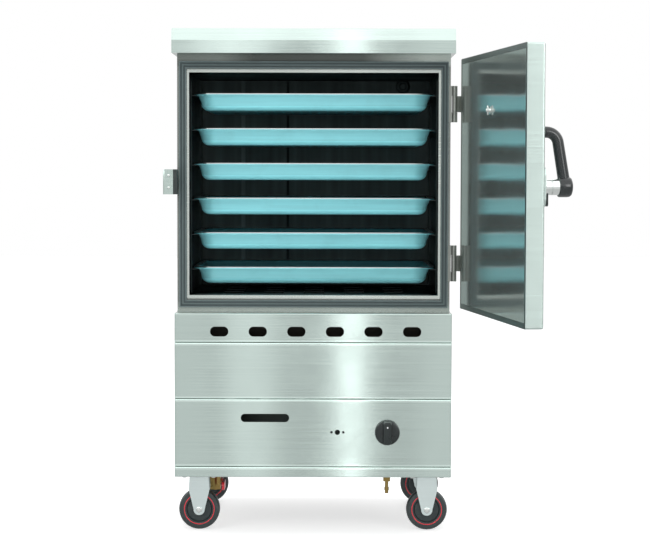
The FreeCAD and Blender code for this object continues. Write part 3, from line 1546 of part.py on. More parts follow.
def latch():
    """The turning latch on the door and the keeper on the casing's left side."""
    base = body("latch_base")
    face = DOOR_OUT - PLATE_THICK
    half = PLATE_WIDTH / 2
    tall = PLATE_HEIGHT / 2
    pad(
        base,
        "XZ_Plane",
        [rectangle((LATCH_X - half, LATCH_X + half), (LATCH_Z - tall, LATCH_Z + tall), half - RIB)],
        face,
        DOOR_OUT,
    )
    pivot_r = STEM_R / 2
    pad(
        base,
        "XZ_Plane",
        [],
        face - STEM_LONG / 2,
        face,
        circles=[(LATCH_X, LATCH_Z, pivot_r - FIT)],
    )
    node(hang(base), "handle_base")

    stem = body("latch_stem")
    stem_in = face - SLACK
    stem_out = stem_in - STEM_LONG
    collar = PLATE_THICK / 2
    pad(stem, "XZ_Plane", [], stem_out, stem_in, circles=[(LATCH_X, LATCH_Z, STEM_R)])
    pad(stem, "XZ_Plane", [], stem_in - collar, stem_in, circles=[(LATCH_X, LATCH_Z, STEM_R + RIB)])
    cam_x = CAM_WIDTH / 2
    pad(
        stem,
        "XZ_Plane",
        [
            [
                (LATCH_X - cam_x, LATCH_Z),
                (LATCH_X - cam_x, LATCH_Z - CAM_REACH + RIB * 2),
                (LATCH_X - cam_x + RIB * 2, LATCH_Z - CAM_REACH),
                (LATCH_X + cam_x - RIB * 2, LATCH_Z - CAM_REACH),
                (LATCH_X + cam_x, LATCH_Z - CAM_REACH + RIB * 2),
                (LATCH_X + cam_x, LATCH_Z),
            ]
        ],
        stem_in - collar - CAM_THICK,
        stem_in - collar,
    )
    pocket(
        stem,
        "XZ_Plane",
        stem_in - STEM_LONG / 2 - SLACK,
        stem_in,
        circles=[(LATCH_X, LATCH_Z, pivot_r)],
    )
    node(hang(stem), "latch_stem")

    grip = body("grip")
    boss_in = stem_out + RIB
    boss_out = stem_out - BOSS_LONG + RIB
    pad(grip, "XZ_Plane", [], boss_out, boss_in, circles=[(LATCH_X, LATCH_Z, BOSS_R)])
    pocket(grip, "XZ_Plane", stem_out, boss_in, circles=[(LATCH_X, LATCH_Z, STEM_R + FIT)])
    root = (boss_in + boss_out) / 2
    node(hang(fuse(grip, *grip_bar(root), name="grip_and_boss")), "handle_grip")

    keeper = body("keeper")
    arm_x = -SIDE - RIB - SHEET / 2
    out_x = arm_x - KEEPER_ARM
    front = SEAL_Y - KEEPER_FRONT
    foot = FRAME_Y + RIB
    pad(
        keeper,
        "XY_Plane",
        [
            [
                (-SIDE, foot),
                (-SIDE, foot + KEEPER_FOOT),
                (out_x, foot + KEEPER_FOOT),
                (out_x, front),
                (arm_x, front),
                (arm_x, foot),
            ]
        ],
        LATCH_Z - KEEPER_HEIGHT / 2 + RIB * 2,
        LATCH_Z + KEEPER_HEIGHT / 2 + RIB * 2,
    )
    rounded(keeper, RIB, lambda middle, along: upright(along) and near(middle.x, out_x))
    node(keeper, "keeper_bracket")

    strike = body("strike")
    pad(
        strike,
        "XY_Plane",
        [rectangle((arm_x, arm_x + STRIKE_WIDTH), (front, front + STRIKE_DEPTH))],
        LATCH_Z - KEEPER_HEIGHT / 2 + RIB * 2,
        LATCH_Z + KEEPER_HEIGHT / 2 + RIB * 2,
    )
    rounded(
        strike,
        RIB,
        lambda middle, along: upright(along) and near(middle.x, arm_x + STRIKE_WIDTH),
    )
    node(strike, "keeper_strike")


def grip_bar(root):
    """The grip bar: it rises from the boss, leaning to the door, and bends back to just clear of it."""
    lean_sin = sine(GRIP_LEAN)
    lean_cos = cosine(GRIP_LEAN)
    rise = (GRIP_UP - GRIP_BEND * (1 - lean_sin)) / lean_cos
    foot = STEM_R + RIB
    upright_run = rod("Z", (0, 0, foot), GRIP_R, rise - foot)
    bend = doc.addObject("Part::Torus", "bend")
    bind(bend, Radius1=GRIP_BEND, Radius2=GRIP_R, Angle3=90 - GRIP_LEAN)
    columns = FreeCAD.Matrix(0, 0, -1, 0, -1, 0, 0, 0, 0, 1, 0, 0, 0, 0, 0, 1)
    bend.Placement = FreeCAD.Placement(columns)
    place(bend, 0, GRIP_BEND, rise)
    leaning = fuse(upright_run, bend, name="leaning_grip")
    leaning.Placement = FreeCAD.Placement(
        FreeCAD.Vector(0, 0, 0), FreeCAD.Rotation(-AXES["X"], GRIP_LEAN.value)
    )
    bind(leaning, Placement__Rotation__Angle=GRIP_LEAN)
    place(leaning, LATCH_X, root, LATCH_Z)
    back = root + rise * lean_sin + GRIP_BEND * lean_cos
    tip = rod("Y", (LATCH_X, back, LATCH_Z + GRIP_UP), GRIP_R, DOOR_OUT - GRIP_GAP - back)
    return leaning, tip


burner_base()
castors()
chamber_casing()
door_seal()
racks()
trays()
chamber_fittings()
water_side()
gas_side()
door()
latch()
doc.recompute()

for thing in doc.Objects:
    if "Invalid" in thing.State or "Error" in thing.State:
        raise RuntimeError(f"{thing.Label} failed: {thing.State}")
for thing in nodes:
    if thing.Shape.isNull() or not thing.Shape.isValid() or thing.Shape.Volume <= 0:
        raise RuntimeError(f"{thing.Label} has no valid solid")

os.makedirs("parts", exist_ok=True)
for thing in nodes:
    thing.Shape.exportStep(f"parts/{thing.Label}.step")
    print(thing.Label, len(thing.Shape.Solids), round(thing.Shape.Volume / 1000, 1))
print(len(nodes), "parts")
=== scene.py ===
import json
import math

import bpy
from bpy.props import FloatProperty, FloatVectorProperty, IntProperty, PointerProperty
from bpy.types import Operator, Panel, PropertyGroup
from mathutils import Matrix, Vector


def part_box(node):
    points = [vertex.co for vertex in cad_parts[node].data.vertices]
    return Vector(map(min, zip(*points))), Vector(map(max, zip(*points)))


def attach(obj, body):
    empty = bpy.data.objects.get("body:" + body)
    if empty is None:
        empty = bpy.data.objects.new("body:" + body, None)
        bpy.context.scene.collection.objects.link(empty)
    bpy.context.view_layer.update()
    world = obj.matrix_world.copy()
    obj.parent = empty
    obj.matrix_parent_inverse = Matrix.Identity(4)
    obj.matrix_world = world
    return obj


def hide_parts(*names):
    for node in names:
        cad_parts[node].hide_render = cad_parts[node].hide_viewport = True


bl_info = {
    "name": "Rice Steamer Cabinet",
    "version": (1, 0, 0),
    "blender": (4, 5, 0),
    "location": "3D View > Sidebar > Steamer",
    "description": "Builds the looks of a tray steamer cabinet over its fixed frame",
    "category": "Object",
}

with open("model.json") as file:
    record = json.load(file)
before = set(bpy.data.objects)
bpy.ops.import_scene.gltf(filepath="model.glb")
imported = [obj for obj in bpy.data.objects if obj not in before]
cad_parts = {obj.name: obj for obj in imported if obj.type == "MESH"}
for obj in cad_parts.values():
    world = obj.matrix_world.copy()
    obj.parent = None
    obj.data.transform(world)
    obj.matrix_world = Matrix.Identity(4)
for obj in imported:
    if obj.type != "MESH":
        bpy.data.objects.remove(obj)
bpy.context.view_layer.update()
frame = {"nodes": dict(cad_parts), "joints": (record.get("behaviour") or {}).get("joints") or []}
HINGE = next(j for j in frame["joints"] if j["name"] == "door_hinge")
LATCH = next(j for j in frame["joints"] if j["name"] == "latch_turn")
DOOR_ANGLE = math.radians(-HINGE["range_deg"][0])
TRAYS = [f"tray_{n}" for n in range(1, 7)]
WHEELS = [f"{end}_{side}" for end in ("front", "rear") for side in ("left", "right")]
MM = 0.001
# Half width and half height of the lip round the door opening, which gets a painted highlight
LIP_REACH = (0.312, 0.2795)
# Half width and half height at which the frame's darker border starts and ends
BORDER_REACH = (0.285, 0.305)


def length(label, text, default):
    return FloatProperty(name=label, description=text, default=default, unit="LENGTH", precision=4)


def colour(label, text, default):
    return FloatVectorProperty(
        name=label, description=text, default=default, size=3, min=0, max=1, subtype="COLOR"
    )


class STEAMER_PG_sizes(PropertyGroup):
    """Sizes of the modelled details."""

    sheet_edge: length("Sheet edge", "Rounding of folded sheet edges", 0.0007)
    tray_sheet: length("Tray sheet", "Thickness of the tray metal", 0.0011)
    tray_corner: length("Tray corner", "Plan corner radius of the tray rim", 0.057)
    tray_rim: length("Tray rim", "Width of the flat tray rim", 0.011)
    tray_foot: length("Tray foot", "Radius between tray wall and floor", 0.019)
    tray_draft: length("Tray draft", "How far the tray wall leans in from top to foot", 0.008)
    hole_pitch: length("Hole pitch", "Spacing of the tray perforations", 0.0225)
    ring_radius: length("Ring radius", "Radius of the coloured ring on a wheel", 0.0365)
    screw_radius: length("Screw radius", "Radius of a small screw head", 0.0036)
    turned_sides: IntProperty(name="Turned sides", description="Facets of a round piece", default=64)


class STEAMER_PG_colours(PropertyGroup):
    """Colours of the finishes."""

    steel: colour("Steel", "Outer stainless sheet", (0.61, 0.72, 0.68))
    # Made dark as painted shade inside the chamber.
    liner: colour("Liner", "Chamber lining", (0.050, 0.066, 0.066))
    tray: colour("Tray", "Drawn tray sheet", (0.30, 0.80, 0.87))
    # The frame colour is dark partly as painted shade, for the canopy's shadow on the frame.
    frame: colour("Frame", "Darker steel round the door opening", (0.33, 0.36, 0.34))
    door_inner: colour("Door inner", "Bright inner sheet of the door", (0.36, 0.42, 0.40))
    rim: colour("Tray rim", "Bare rim of the trays", (0.80, 0.82, 0.83))
    # Made dark as painted shade in the tank and burner space.
    shaded_interior: colour("Shaded interior", "Steel of the tank and burner space, dark as painted shade", (0.035, 0.038, 0.038))
    seal: colour("Seal", "Silicone door seal", (0.095, 0.135, 0.138))
    hinge: colour("Hinge", "Satin hinge castings", (0.30, 0.32, 0.29))
    chrome: colour("Chrome", "Polished latch parts", (0.80, 0.84, 0.82))
    fork: colour("Fork", "Zinc plated castor forks", (0.76, 0.86, 0.85))
    wheel: colour("Wheel", "Castor wheels", (0.020, 0.030, 0.031))
    ring: colour("Ring", "Coloured ring on the wheels", (0.70, 0.03, 0.05))
    grip: colour("Grip", "Latch grip", (0.012, 0.016, 0.017))
    knob: colour("Knob", "Gas knob", (0.011, 0.017, 0.017))
    brass: colour("Brass", "Taps and nozzle", (0.36, 0.26, 0.09))
    lever: colour("Lever", "Drain lever coating", (0.60, 0.02, 0.03))
    # Black paint, darkened further as painted shade behind the igniter holes.
    iron: colour("Iron", "Burner and pipes", (0.028, 0.030, 0.032))
    foam: colour("Foam", "Insulation", (0.72, 0.64, 0.42))
    mark: colour("Mark", "Pointer mark on the knob", (0.8, 0.82, 0.82))
    float: colour("Float", "Float of the filling valve", (0.75, 0.76, 0.74))
    floor: colour("Floor", "Studio floor", (0.86, 0.87, 0.87))


def sizes():
    return bpy.context.scene.steamer_sizes


def colours():
    return bpy.context.scene.steamer_colours


# Modelling helpers

# How a piece that is drawn along Z is turned to face another way
TURNS = {
    "Z": (0, 0, 0),
    "-Z": (math.pi, 0, 0),
    "Y": (-math.pi / 2, 0, 0),
    "-Y": (math.pi / 2, 0, 0),
    "X": (0, math.pi / 2, 0),
}


def clear_selection():
    if bpy.context.object and bpy.context.object.mode != "OBJECT":
        bpy.ops.object.mode_set(mode="OBJECT")
    bpy.ops.object.select_all(action="DESELECT")


def named(name):
    piece = bpy.context.object
    piece.name = name
    piece.data.name = name
    bpy.ops.object.transform_apply(location=True, rotation=True, scale=True)
    return piece


def start_box(name, low, high):
    clear_selection()
    low, high = Vector(low), Vector(high)
    bpy.ops.mesh.primitive_cube_add(size=1, location=(low + high) / 2)
    bpy.context.object.scale = high - low
    return named(name)


def start_plane(name, low, high, level):
    """A flat rectangle in X and Y at a level, facing up."""
    clear_selection()
    middle = ((low[0] + high[0]) / 2, (low[1] + high[1]) / 2, level)
    bpy.ops.mesh.primitive_plane_add(size=1, location=middle)
    bpy.context.object.scale = (high[0] - low[0], high[1] - low[1], 1)
    return named(name)


def edit(piece, kind="FACE"):
    """Open a piece in edit mode with nothing selected."""
    clear_selection()
    piece.select_set(True)
    bpy.context.view_layer.objects.active = piece
    bpy.ops.object.mode_set(mode="EDIT")
    bpy.ops.mesh.select_mode(type=kind)
    bpy.ops.mesh.select_all(action="DESELECT")


def pick_faces(piece, test):
    """Select the faces whose centre and normal pass a test, and stay in edit mode."""
    edit(piece, "FACE")
    bpy.ops.object.mode_set(mode="OBJECT")
    for face in piece.data.polygons:
        face.select = bool(test(face.center, face.normal))
    bpy.ops.object.mode_set(mode="EDIT")


def pick_edges(piece, test):
    """Select the edges whose middle and direction pass a test, and stay in edit mode."""
    edit(piece, "EDGE")
    bpy.ops.object.mode_set(mode="OBJECT")
    points = piece.data.vertices
    for edge in piece.data.edges:
        a, b = (points[i].co for i in edge.vertices)
        edge.select = bool(test((a + b) / 2, (b - a).normalized()))
    bpy.ops.object.mode_set(mode="EDIT")


def done():
    bpy.ops.object.mode_set(mode="OBJECT")


def face_outwards(piece):
    edit(piece)
    bpy.ops.mesh.select_all(action="SELECT")
    bpy.ops.mesh.normals_make_consistent(inside=False)
    done()


def apply(piece, kind, **settings):
    clear_selection()
    piece.select_set(True)
    bpy.context.view_layer.objects.active = piece
    modifier = piece.modifiers.new(kind.title(), kind)
    for key, value in settings.items():
        setattr(modifier, key, value)
    bpy.ops.object.modifier_apply(modifier=modifier.name)
    return piece


def soften(piece, width, segments=2, angle=35):
    """Round the sharp edges and smooth the faces between them."""
    apply(
        piece,
        "BEVEL",
        width=width,
        segments=segments,
        limit_method="ANGLE",
        angle_limit=math.radians(angle),
    )
    return smooth(piece)


def smooth(piece, angle=35):
    clear_selection()
    piece.select_set(True)
    bpy.context.view_layer.objects.active = piece
    bpy.ops.object.shade_smooth_by_angle(angle=math.radians(angle))
    return piece


def turned(name, stations, at, axis="Z", sides=None, unit=MM):
    """A round piece: a disc drawn out through (radius, level) stations, given in a unit."""
    clear_selection()
    (radius, level), *rest = [(r * unit, z * unit) for r, z in stations]
    bpy.ops.mesh.primitive_circle_add(
        vertices=sides or sizes().turned_sides,
        radius=radius,
        fill_type="NGON",
        location=(0, 0, level),
    )
    piece = named(name)
    edit(piece)
    bpy.ops.mesh.select_all(action="SELECT")
    for new_radius, new_level in rest:
        bpy.ops.mesh.extrude_region_move(
            TRANSFORM_OT_translate={"value": (0, 0, new_level - level)}
        )
        share = new_radius / radius
        if abs(share - 1) > 1e-6:
            bpy.ops.transform.resize(value=(share, share, 1), center_override=(0, 0, new_level))
        radius, level = new_radius, new_level
    done()
    face_outwards(piece)
    return put(piece, at, TURNS[axis])


def put(piece, at, turn=(0, 0, 0)):
    """Turn and move a piece in object mode, and apply it to the mesh."""
    clear_selection()
    piece.select_set(True)
    bpy.context.view_layer.objects.active = piece
    piece.rotation_euler = turn
    piece.location = at
    bpy.ops.object.transform_apply(location=True, rotation=True, scale=True)
    return piece


def hang(piece):
    """Swing a piece drawn on the shut door out to the open door."""
    pivot = Matrix.Translation(Vector(HINGE["pos_m"]))
    clear_selection()
    piece.select_set(True)
    bpy.context.view_layer.objects.active = piece
    piece.matrix_world = pivot @ Matrix.Rotation(DOOR_ANGLE, 4, "Z") @ pivot.inverted()
    bpy.ops.object.transform_apply(location=True, rotation=True, scale=True)
    return piece


def copied(piece, name):
    """A copy of a piece with its own mesh."""
    other = piece.copy()
    other.data = piece.data.copy()
    other.name = name
    other.data.name = name
    bpy.context.scene.collection.objects.link(other)
    return other


def joined(name, *pieces):
    clear_selection()
    for piece in pieces:
        piece.select_set(True)
    bpy.context.view_layer.objects.active = pieces[0]
    bpy.ops.object.join()
    return named(name)


def painted(piece, *materials):
    piece.data.materials.clear()
    for material in materials:
        piece.data.materials.append(material)
    return piece


def plate(name, centre, wide, tall, radius, thick, edge):
    """A flat plate with rounded corners, standing out of a face towards -Y."""
    piece = start_plane(name, (-wide / 2, -tall / 2), (wide / 2, tall / 2), 0)
    edit(piece, "VERT")
    bpy.ops.mesh.select_all(action="SELECT")
    bpy.ops.mesh.bevel(offset=radius, segments=6, affect="VERTICES")
    bpy.ops.mesh.select_mode(type="FACE")
    bpy.ops.mesh.select_all(action="SELECT")
    bpy.ops.mesh.extrude_region_move(TRANSFORM_OT_translate={"value": (0, 0, thick)})
    done()
    face_outwards(piece)
    soften(piece, edge)
    return put(piece, centre, TURNS["-Y"])


def screw(name, at, axis="-Y", radius=None):
    """A pan-head screw with a round-cornered socket."""
    stations = [(1, 0), (1, 0.35), (0.8, 0.62), (0.45, 0.72), (0.4, 0.35)]
    return turned(name, stations, at, axis, sides=12, unit=radius or sizes().screw_radius)


def fitted(piece, look, body, stands_for=None):
    """Give a piece its finish, hide the node it stands for and attach it to the body it moves with.
    """
    painted(piece, finish(look))
    if stands_for:
        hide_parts(stands_for)
    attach(piece, body)


# Material helpers


class Wiring:
    """A short way to add and link nodes in a material or a node group."""

    def __init__(self, tree):
        self.tree = tree

    def add(self, kind, inputs=None, **settings):
        node = self.tree.nodes.new(kind)
        for key, value in settings.items():
            setattr(node, key, value)
        for key, value in (inputs or {}).items():
            self.feed(node, key, value)
        return node

    def feed(self, node, key, value):
        if isinstance(value, bpy.types.NodeSocket):
            self.tree.links.new(value, node.inputs[key])
        else:
            node.inputs[key].default_value = value

    def math(self, operation, a, b=0.0, clamp=False):
        inputs = {0: a, 1: b}
        return self.add("ShaderNodeMath", inputs, operation=operation, use_clamp=clamp).outputs[0]

    def noise(self, vector, scale, detail=3.0, roughness=0.5):
        return self.add(
            "ShaderNodeTexNoise",
            {"Vector": vector, "Scale": scale, "Detail": detail, "Roughness": roughness},
        ).outputs["Fac"]

    def stretch(self, vector, scale):
        return self.add("ShaderNodeMapping", {"Vector": vector, "Scale": scale}).outputs["Vector"]

    def ramp(self, value, low, high, to_low=0.0, to_high=1.0):
        return self.add(
            "ShaderNodeMapRange",
            {"Value": value, "From Min": low, "From Max": high, "To Min": to_low, "To Max": to_high},
        ).outputs["Result"]

    def away(self, value, middle):
        """How far a value is from a middle, either way."""
        return self.math("ABSOLUTE", self.math("SUBTRACT", value, middle))

    def bump(self, height, strength, distance, normal=None):
        inputs = {"Height": height, "Strength": strength, "Distance": distance}
        if normal is not None:
            inputs["Normal"] = normal
        return self.add("ShaderNodeBump", inputs).outputs["Normal"]


def shared_group(name, make):
    """A node group that several materials use, made when it is first asked for."""
    return bpy.data.node_groups.get(name) or make(name)


def group(name, inputs, outputs):
    """A node group with float inputs given as name: default, and outputs as name: kind."""
    tree = bpy.data.node_groups.new(name, "ShaderNodeTree")
    for label, default in inputs.items():
        socket = tree.interface.new_socket(label, in_out="INPUT", socket_type="NodeSocketFloat")
        socket.default_value = default
    for label, kind in outputs.items():
        tree.interface.new_socket(label, in_out="OUTPUT", socket_type=kind)
    wires = Wiring(tree)
    return tree, wires, wires.add("NodeGroupInput"), wires.add("NodeGroupOutput")


def brushed_group(name):
    """Fine horizontal brushing with faint handling marks and slight waves in the sheet."""
    tree, w, given, out = group(
        name,
        {"Grain": 0.5, "Wave": 0.5, "Smudge": 0.5, "Roughness": 0.25},
        {"Shade": "NodeSocketFloat", "Roughness": "NodeSocketFloat", "Normal": "NodeSocketVector"},
    )
    place = w.add("ShaderNodeTexCoord").outputs["Object"]
    upright = w.noise(w.stretch(place, (3, 3, 700)), 1.0, 4.0, 0.6)
    flat = w.noise(w.stretch(place, (3, 700, 3)), 1.0, 4.0, 0.6)
    facing = w.add("ShaderNodeSeparateXYZ", {0: w.add("ShaderNodeNewGeometry").outputs["Normal"]})
    level = w.math("GREATER_THAN", w.math("ABSOLUTE", facing.outputs["Z"]), 0.6)
    grain = w.add("ShaderNodeMix", {0: level, 2: upright, 3: flat}).outputs[0]
    wave = w.noise(w.stretch(place, (2.2, 2.2, 1.6)), 1.0, 1.0, 0.4)
    smudge = w.noise(place, 9.0, 5.0, 0.65)
    streak = w.ramp(grain, 0.3, 0.7, -0.5, 0.5)
    depth = w.math("MULTIPLY", given.outputs["Grain"], 0.22)
    shade = w.math("ADD", w.math("MULTIPLY", streak, depth), 1.0)
    marks = w.math("MULTIPLY", w.ramp(smudge, 0.45, 0.75), given.outputs["Smudge"])
    rough = w.math("ADD", given.outputs["Roughness"], w.math("MULTIPLY", marks, 0.10))
    rough = w.math("ADD", rough, w.math("MULTIPLY", streak, 0.05))
    height = w.math("MULTIPLY", grain, given.outputs["Grain"])
    fine = w.bump(height, 0.12, 0.0002)
    broad = w.bump(w.math("MULTIPLY", wave, given.outputs["Wave"]), 0.5, 0.006, fine)
    w.feed(out, "Shade", shade)
    w.feed(out, "Roughness", rough)
    w.feed(out, "Normal", broad)
    return tree


def speckle_group(name):
    """Fine moulding texture with dust and rubbed edges for plastic, rubber, paint and castings."""
    tree, w, given, out = group(
        name,
        {"Scale": 900.0, "Depth": 0.3, "Wear": 0.4, "Roughness": 0.4},
        {"Wear": "NodeSocketFloat", "Roughness": "NodeSocketFloat", "Normal": "NodeSocketVector"},
    )
    place = w.add("ShaderNodeTexCoord").outputs["Object"]
    fine = w.noise(place, given.outputs["Scale"], 2.0, 0.5)
    patch = w.noise(place, 35.0, 5.0, 0.6)
    point = w.add("ShaderNodeNewGeometry").outputs["Pointiness"]
    edge = w.math("MULTIPLY", w.ramp(point, 0.52, 0.60), 0.6)
    worn = w.math("ADD", edge, w.ramp(patch, 0.55, 0.8))
    wear = w.math("MULTIPLY", worn, given.outputs["Wear"], clamp=True)
    rough = w.math("ADD", given.outputs["Roughness"], w.ramp(patch, 0.3, 0.7, -0.06, 0.08))
    w.feed(out, "Wear", wear)
    w.feed(out, "Roughness", rough)
    w.feed(out, "Normal", w.bump(fine, given.outputs["Depth"], 0.0002))
    return tree


def new_material(name):
    material = bpy.data.materials.new(name)
    material.use_nodes = True
    tree = material.node_tree
    return material, Wiring(tree), tree.nodes["Principled BSDF"]


def scaled(w, tint, shade):
    """A colour whose brightness follows a value."""
    return w.add("ShaderNodeVectorMath", {0: tint, "Scale": shade}, operation="SCALE").outputs[0]


def sheet_metal(
    name, tint, roughness, grain=0.6, wave=0.5, smudge=0.5, streaky=0.9, inner=None, inner_shade=0.28
):
    """Brushed sheet with level grain; a face turned the inner way is rougher and gets painted shade.
    """
    material, w, shader = new_material(name)
    skin = w.add(
        "ShaderNodeGroup",
        {"Grain": grain, "Wave": wave, "Smudge": smudge, "Roughness": roughness},
        node_tree=shared_group("Brushed Sheet", brushed_group),
    )
    shade, rough = skin.outputs["Shade"], skin.outputs["Roughness"]
    if inner:
        facing = w.add("ShaderNodeTexCoord").outputs["Normal"]
        turned_in = w.add("ShaderNodeVectorMath", {0: facing, 1: inner}, operation="DOT_PRODUCT")
        inside = w.ramp(turned_in.outputs["Value"], 0.85, 0.95)
        # Painted shade: the colour of a face turned the inner way is darkened.
        shade = w.math("MULTIPLY", shade, w.ramp(inside, 0, 1, 1.0, inner_shade))
        rough = w.math("ADD", rough, w.math("MULTIPLY", inside, 0.3))
    w.feed(shader, "Base Color", scaled(w, tuple(tint), shade))
    w.feed(shader, "Roughness", rough)
    w.feed(shader, "Normal", skin.outputs["Normal"])
    shader.inputs["Metallic"].default_value = 1.0
    shader.inputs["Anisotropic"].default_value = streaky
    shader.inputs["Anisotropic Rotation"].default_value = 0.25
    return material


def moulded(
    name, tint, worn, roughness, metallic=0.0, scale=900.0, depth=0.3, wear=0.4, coat=0.0
):
    """Plastic, rubber, paint or cast metal with a fine skin texture."""
    material, w, shader = new_material(name)
    skin = w.add(
        "ShaderNodeGroup",
        {"Scale": scale, "Depth": depth, "Wear": wear, "Roughness": roughness},
        node_tree=shared_group("Moulded Surface", speckle_group),
    )
    mixed = w.add("ShaderNodeMix", data_type="RGBA")
    mixed.inputs[6].default_value = (*tint, 1)
    mixed.inputs[7].default_value = (*worn, 1)
    w.feed(mixed, 0, skin.outputs["Wear"])
    w.feed(shader, "Base Color", mixed.outputs[2])
    w.feed(shader, "Roughness", skin.outputs["Roughness"])
    w.feed(shader, "Normal", skin.outputs["Normal"])
    shader.inputs["Metallic"].default_value = metallic
    shader.inputs["Coat Weight"].default_value = coat
    return material


def reshade(material, shade_of):
    """Scale the colour of a finished material by a value worked out from the place."""
    w = Wiring(material.node_tree)
    shader = material.node_tree.nodes["Principled BSDF"]
    skin = shader.inputs["Base Color"].links[0].from_socket
    place = w.add("ShaderNodeSeparateXYZ", {0: w.add("ShaderNodeTexCoord").outputs["Object"]})
    w.feed(shader, "Base Color", scaled(w, skin, shade_of(w, place.outputs)))
    return material


def front_steel(name, c):
    """Steel of the front pans: the rounded fold where one pan meets the next gets a painted
    highlight.
    """
    folds = [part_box(pan)[1].z for pan in ("middle_panel", "control_panel", "bottom_rail")]

    def shade(w, place):
        near = w.away(place["Z"], folds[0])
        for fold in folds[1:]:
            near = w.math("MINIMUM", near, w.away(place["Z"], fold))
        facing = w.add("ShaderNodeSeparateXYZ", {0: w.add("ShaderNodeTexCoord").outputs["Normal"]})
        ahead = w.ramp(facing.outputs["Y"], -0.3, -0.1, 1.0, 0.0)
        # Painted highlight on the rounded folds of the front faces.
        painted_fold_highlight = w.ramp(near, 5 * MM, 7 * MM, 0.32, 0.0)
        return w.math("ADD", w.math("MULTIPLY", painted_fold_highlight, ahead), 1.0)

    return reshade(sheet_metal(name, c.steel, 0.13, grain=0.4, inner=(0, 1, 0)), shade)


def frame_steel(name, c):
    """Frame round the opening: darker beside the opening than above and below it, with painted canopy
    shadow and a painted highlight at the right end of the strip above, and a painted highlight at the
    lip.
    """
    low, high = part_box("chamber_liner")
    middle = (low + high) / 2
    border, rim = BORDER_REACH

    def shade(w, place):
        across = w.math("ABSOLUTE", place["X"])
        up = w.away(place["Z"], middle.z)
        on_lip = [w.math("LESS_THAN", at, reach) for at, reach in zip((across, up), LIP_REACH)]
        # Painted highlight on the lip round the opening.
        lip = w.math("MULTIPLY", w.math("MULTIPLY", *on_lip), 1.1)
        around = w.math("ADD", lip, w.ramp(up, border, rim, 0.7, 1.1))
        # Painted canopy shadow darkens the strip above the opening, less at its left end; a painted
        # highlight brightens its right end.
        above = w.ramp(place["Z"], middle.z + border, middle.z + border + 5 * MM)
        left = w.ramp(place["X"], -0.23, -0.15, -0.35, -0.75)
        right = w.ramp(place["X"], 0.12, 0.28, 0.0, 1.3)
        return w.math("ADD", around, w.math("MULTIPLY", above, w.math("ADD", left, right)))

    return reshade(sheet_metal(name, c.frame, 0.25, grain=0.3, smudge=0.2, wave=0.1), shade)


def liner_steel(name, c):
    """Chamber lining, dark as painted shade, with a painted highlight along one upright seam of its
    back sheet and a dark line along the other.
    """
    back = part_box("chamber_liner")[1].y - 12 * MM
    painted_highlight_seam, dark_seam = -0.192, -0.073

    def shade(w, place):
        # Painted highlight along one seam; a dark line along the other.
        light = w.ramp(w.away(place["X"], painted_highlight_seam), 4 * MM, 7 * MM, 0.6, 0.0)
        dark = w.ramp(w.away(place["X"], dark_seam), 2 * MM, 4 * MM, -0.7, 0.0)
        across = w.add("ShaderNodeCombineXYZ", {0: w.math("MULTIPLY", place["X"], 45.0)})
        drawn = w.ramp(w.noise(across.outputs[0], 1.0, 3.0), 0.3, 0.7, -0.2, 0.2)
        seams = w.math("ADD", w.math("ADD", light, dark), drawn)
        at_back = w.ramp(place["Y"], back - 5 * MM, back)
        return w.math("ADD", w.math("MULTIPLY", seams, at_back), 1.0)

    return reshade(sheet_metal(name, c.liner, 0.30, grain=0.4, wave=0.3, smudge=0.9), shade)


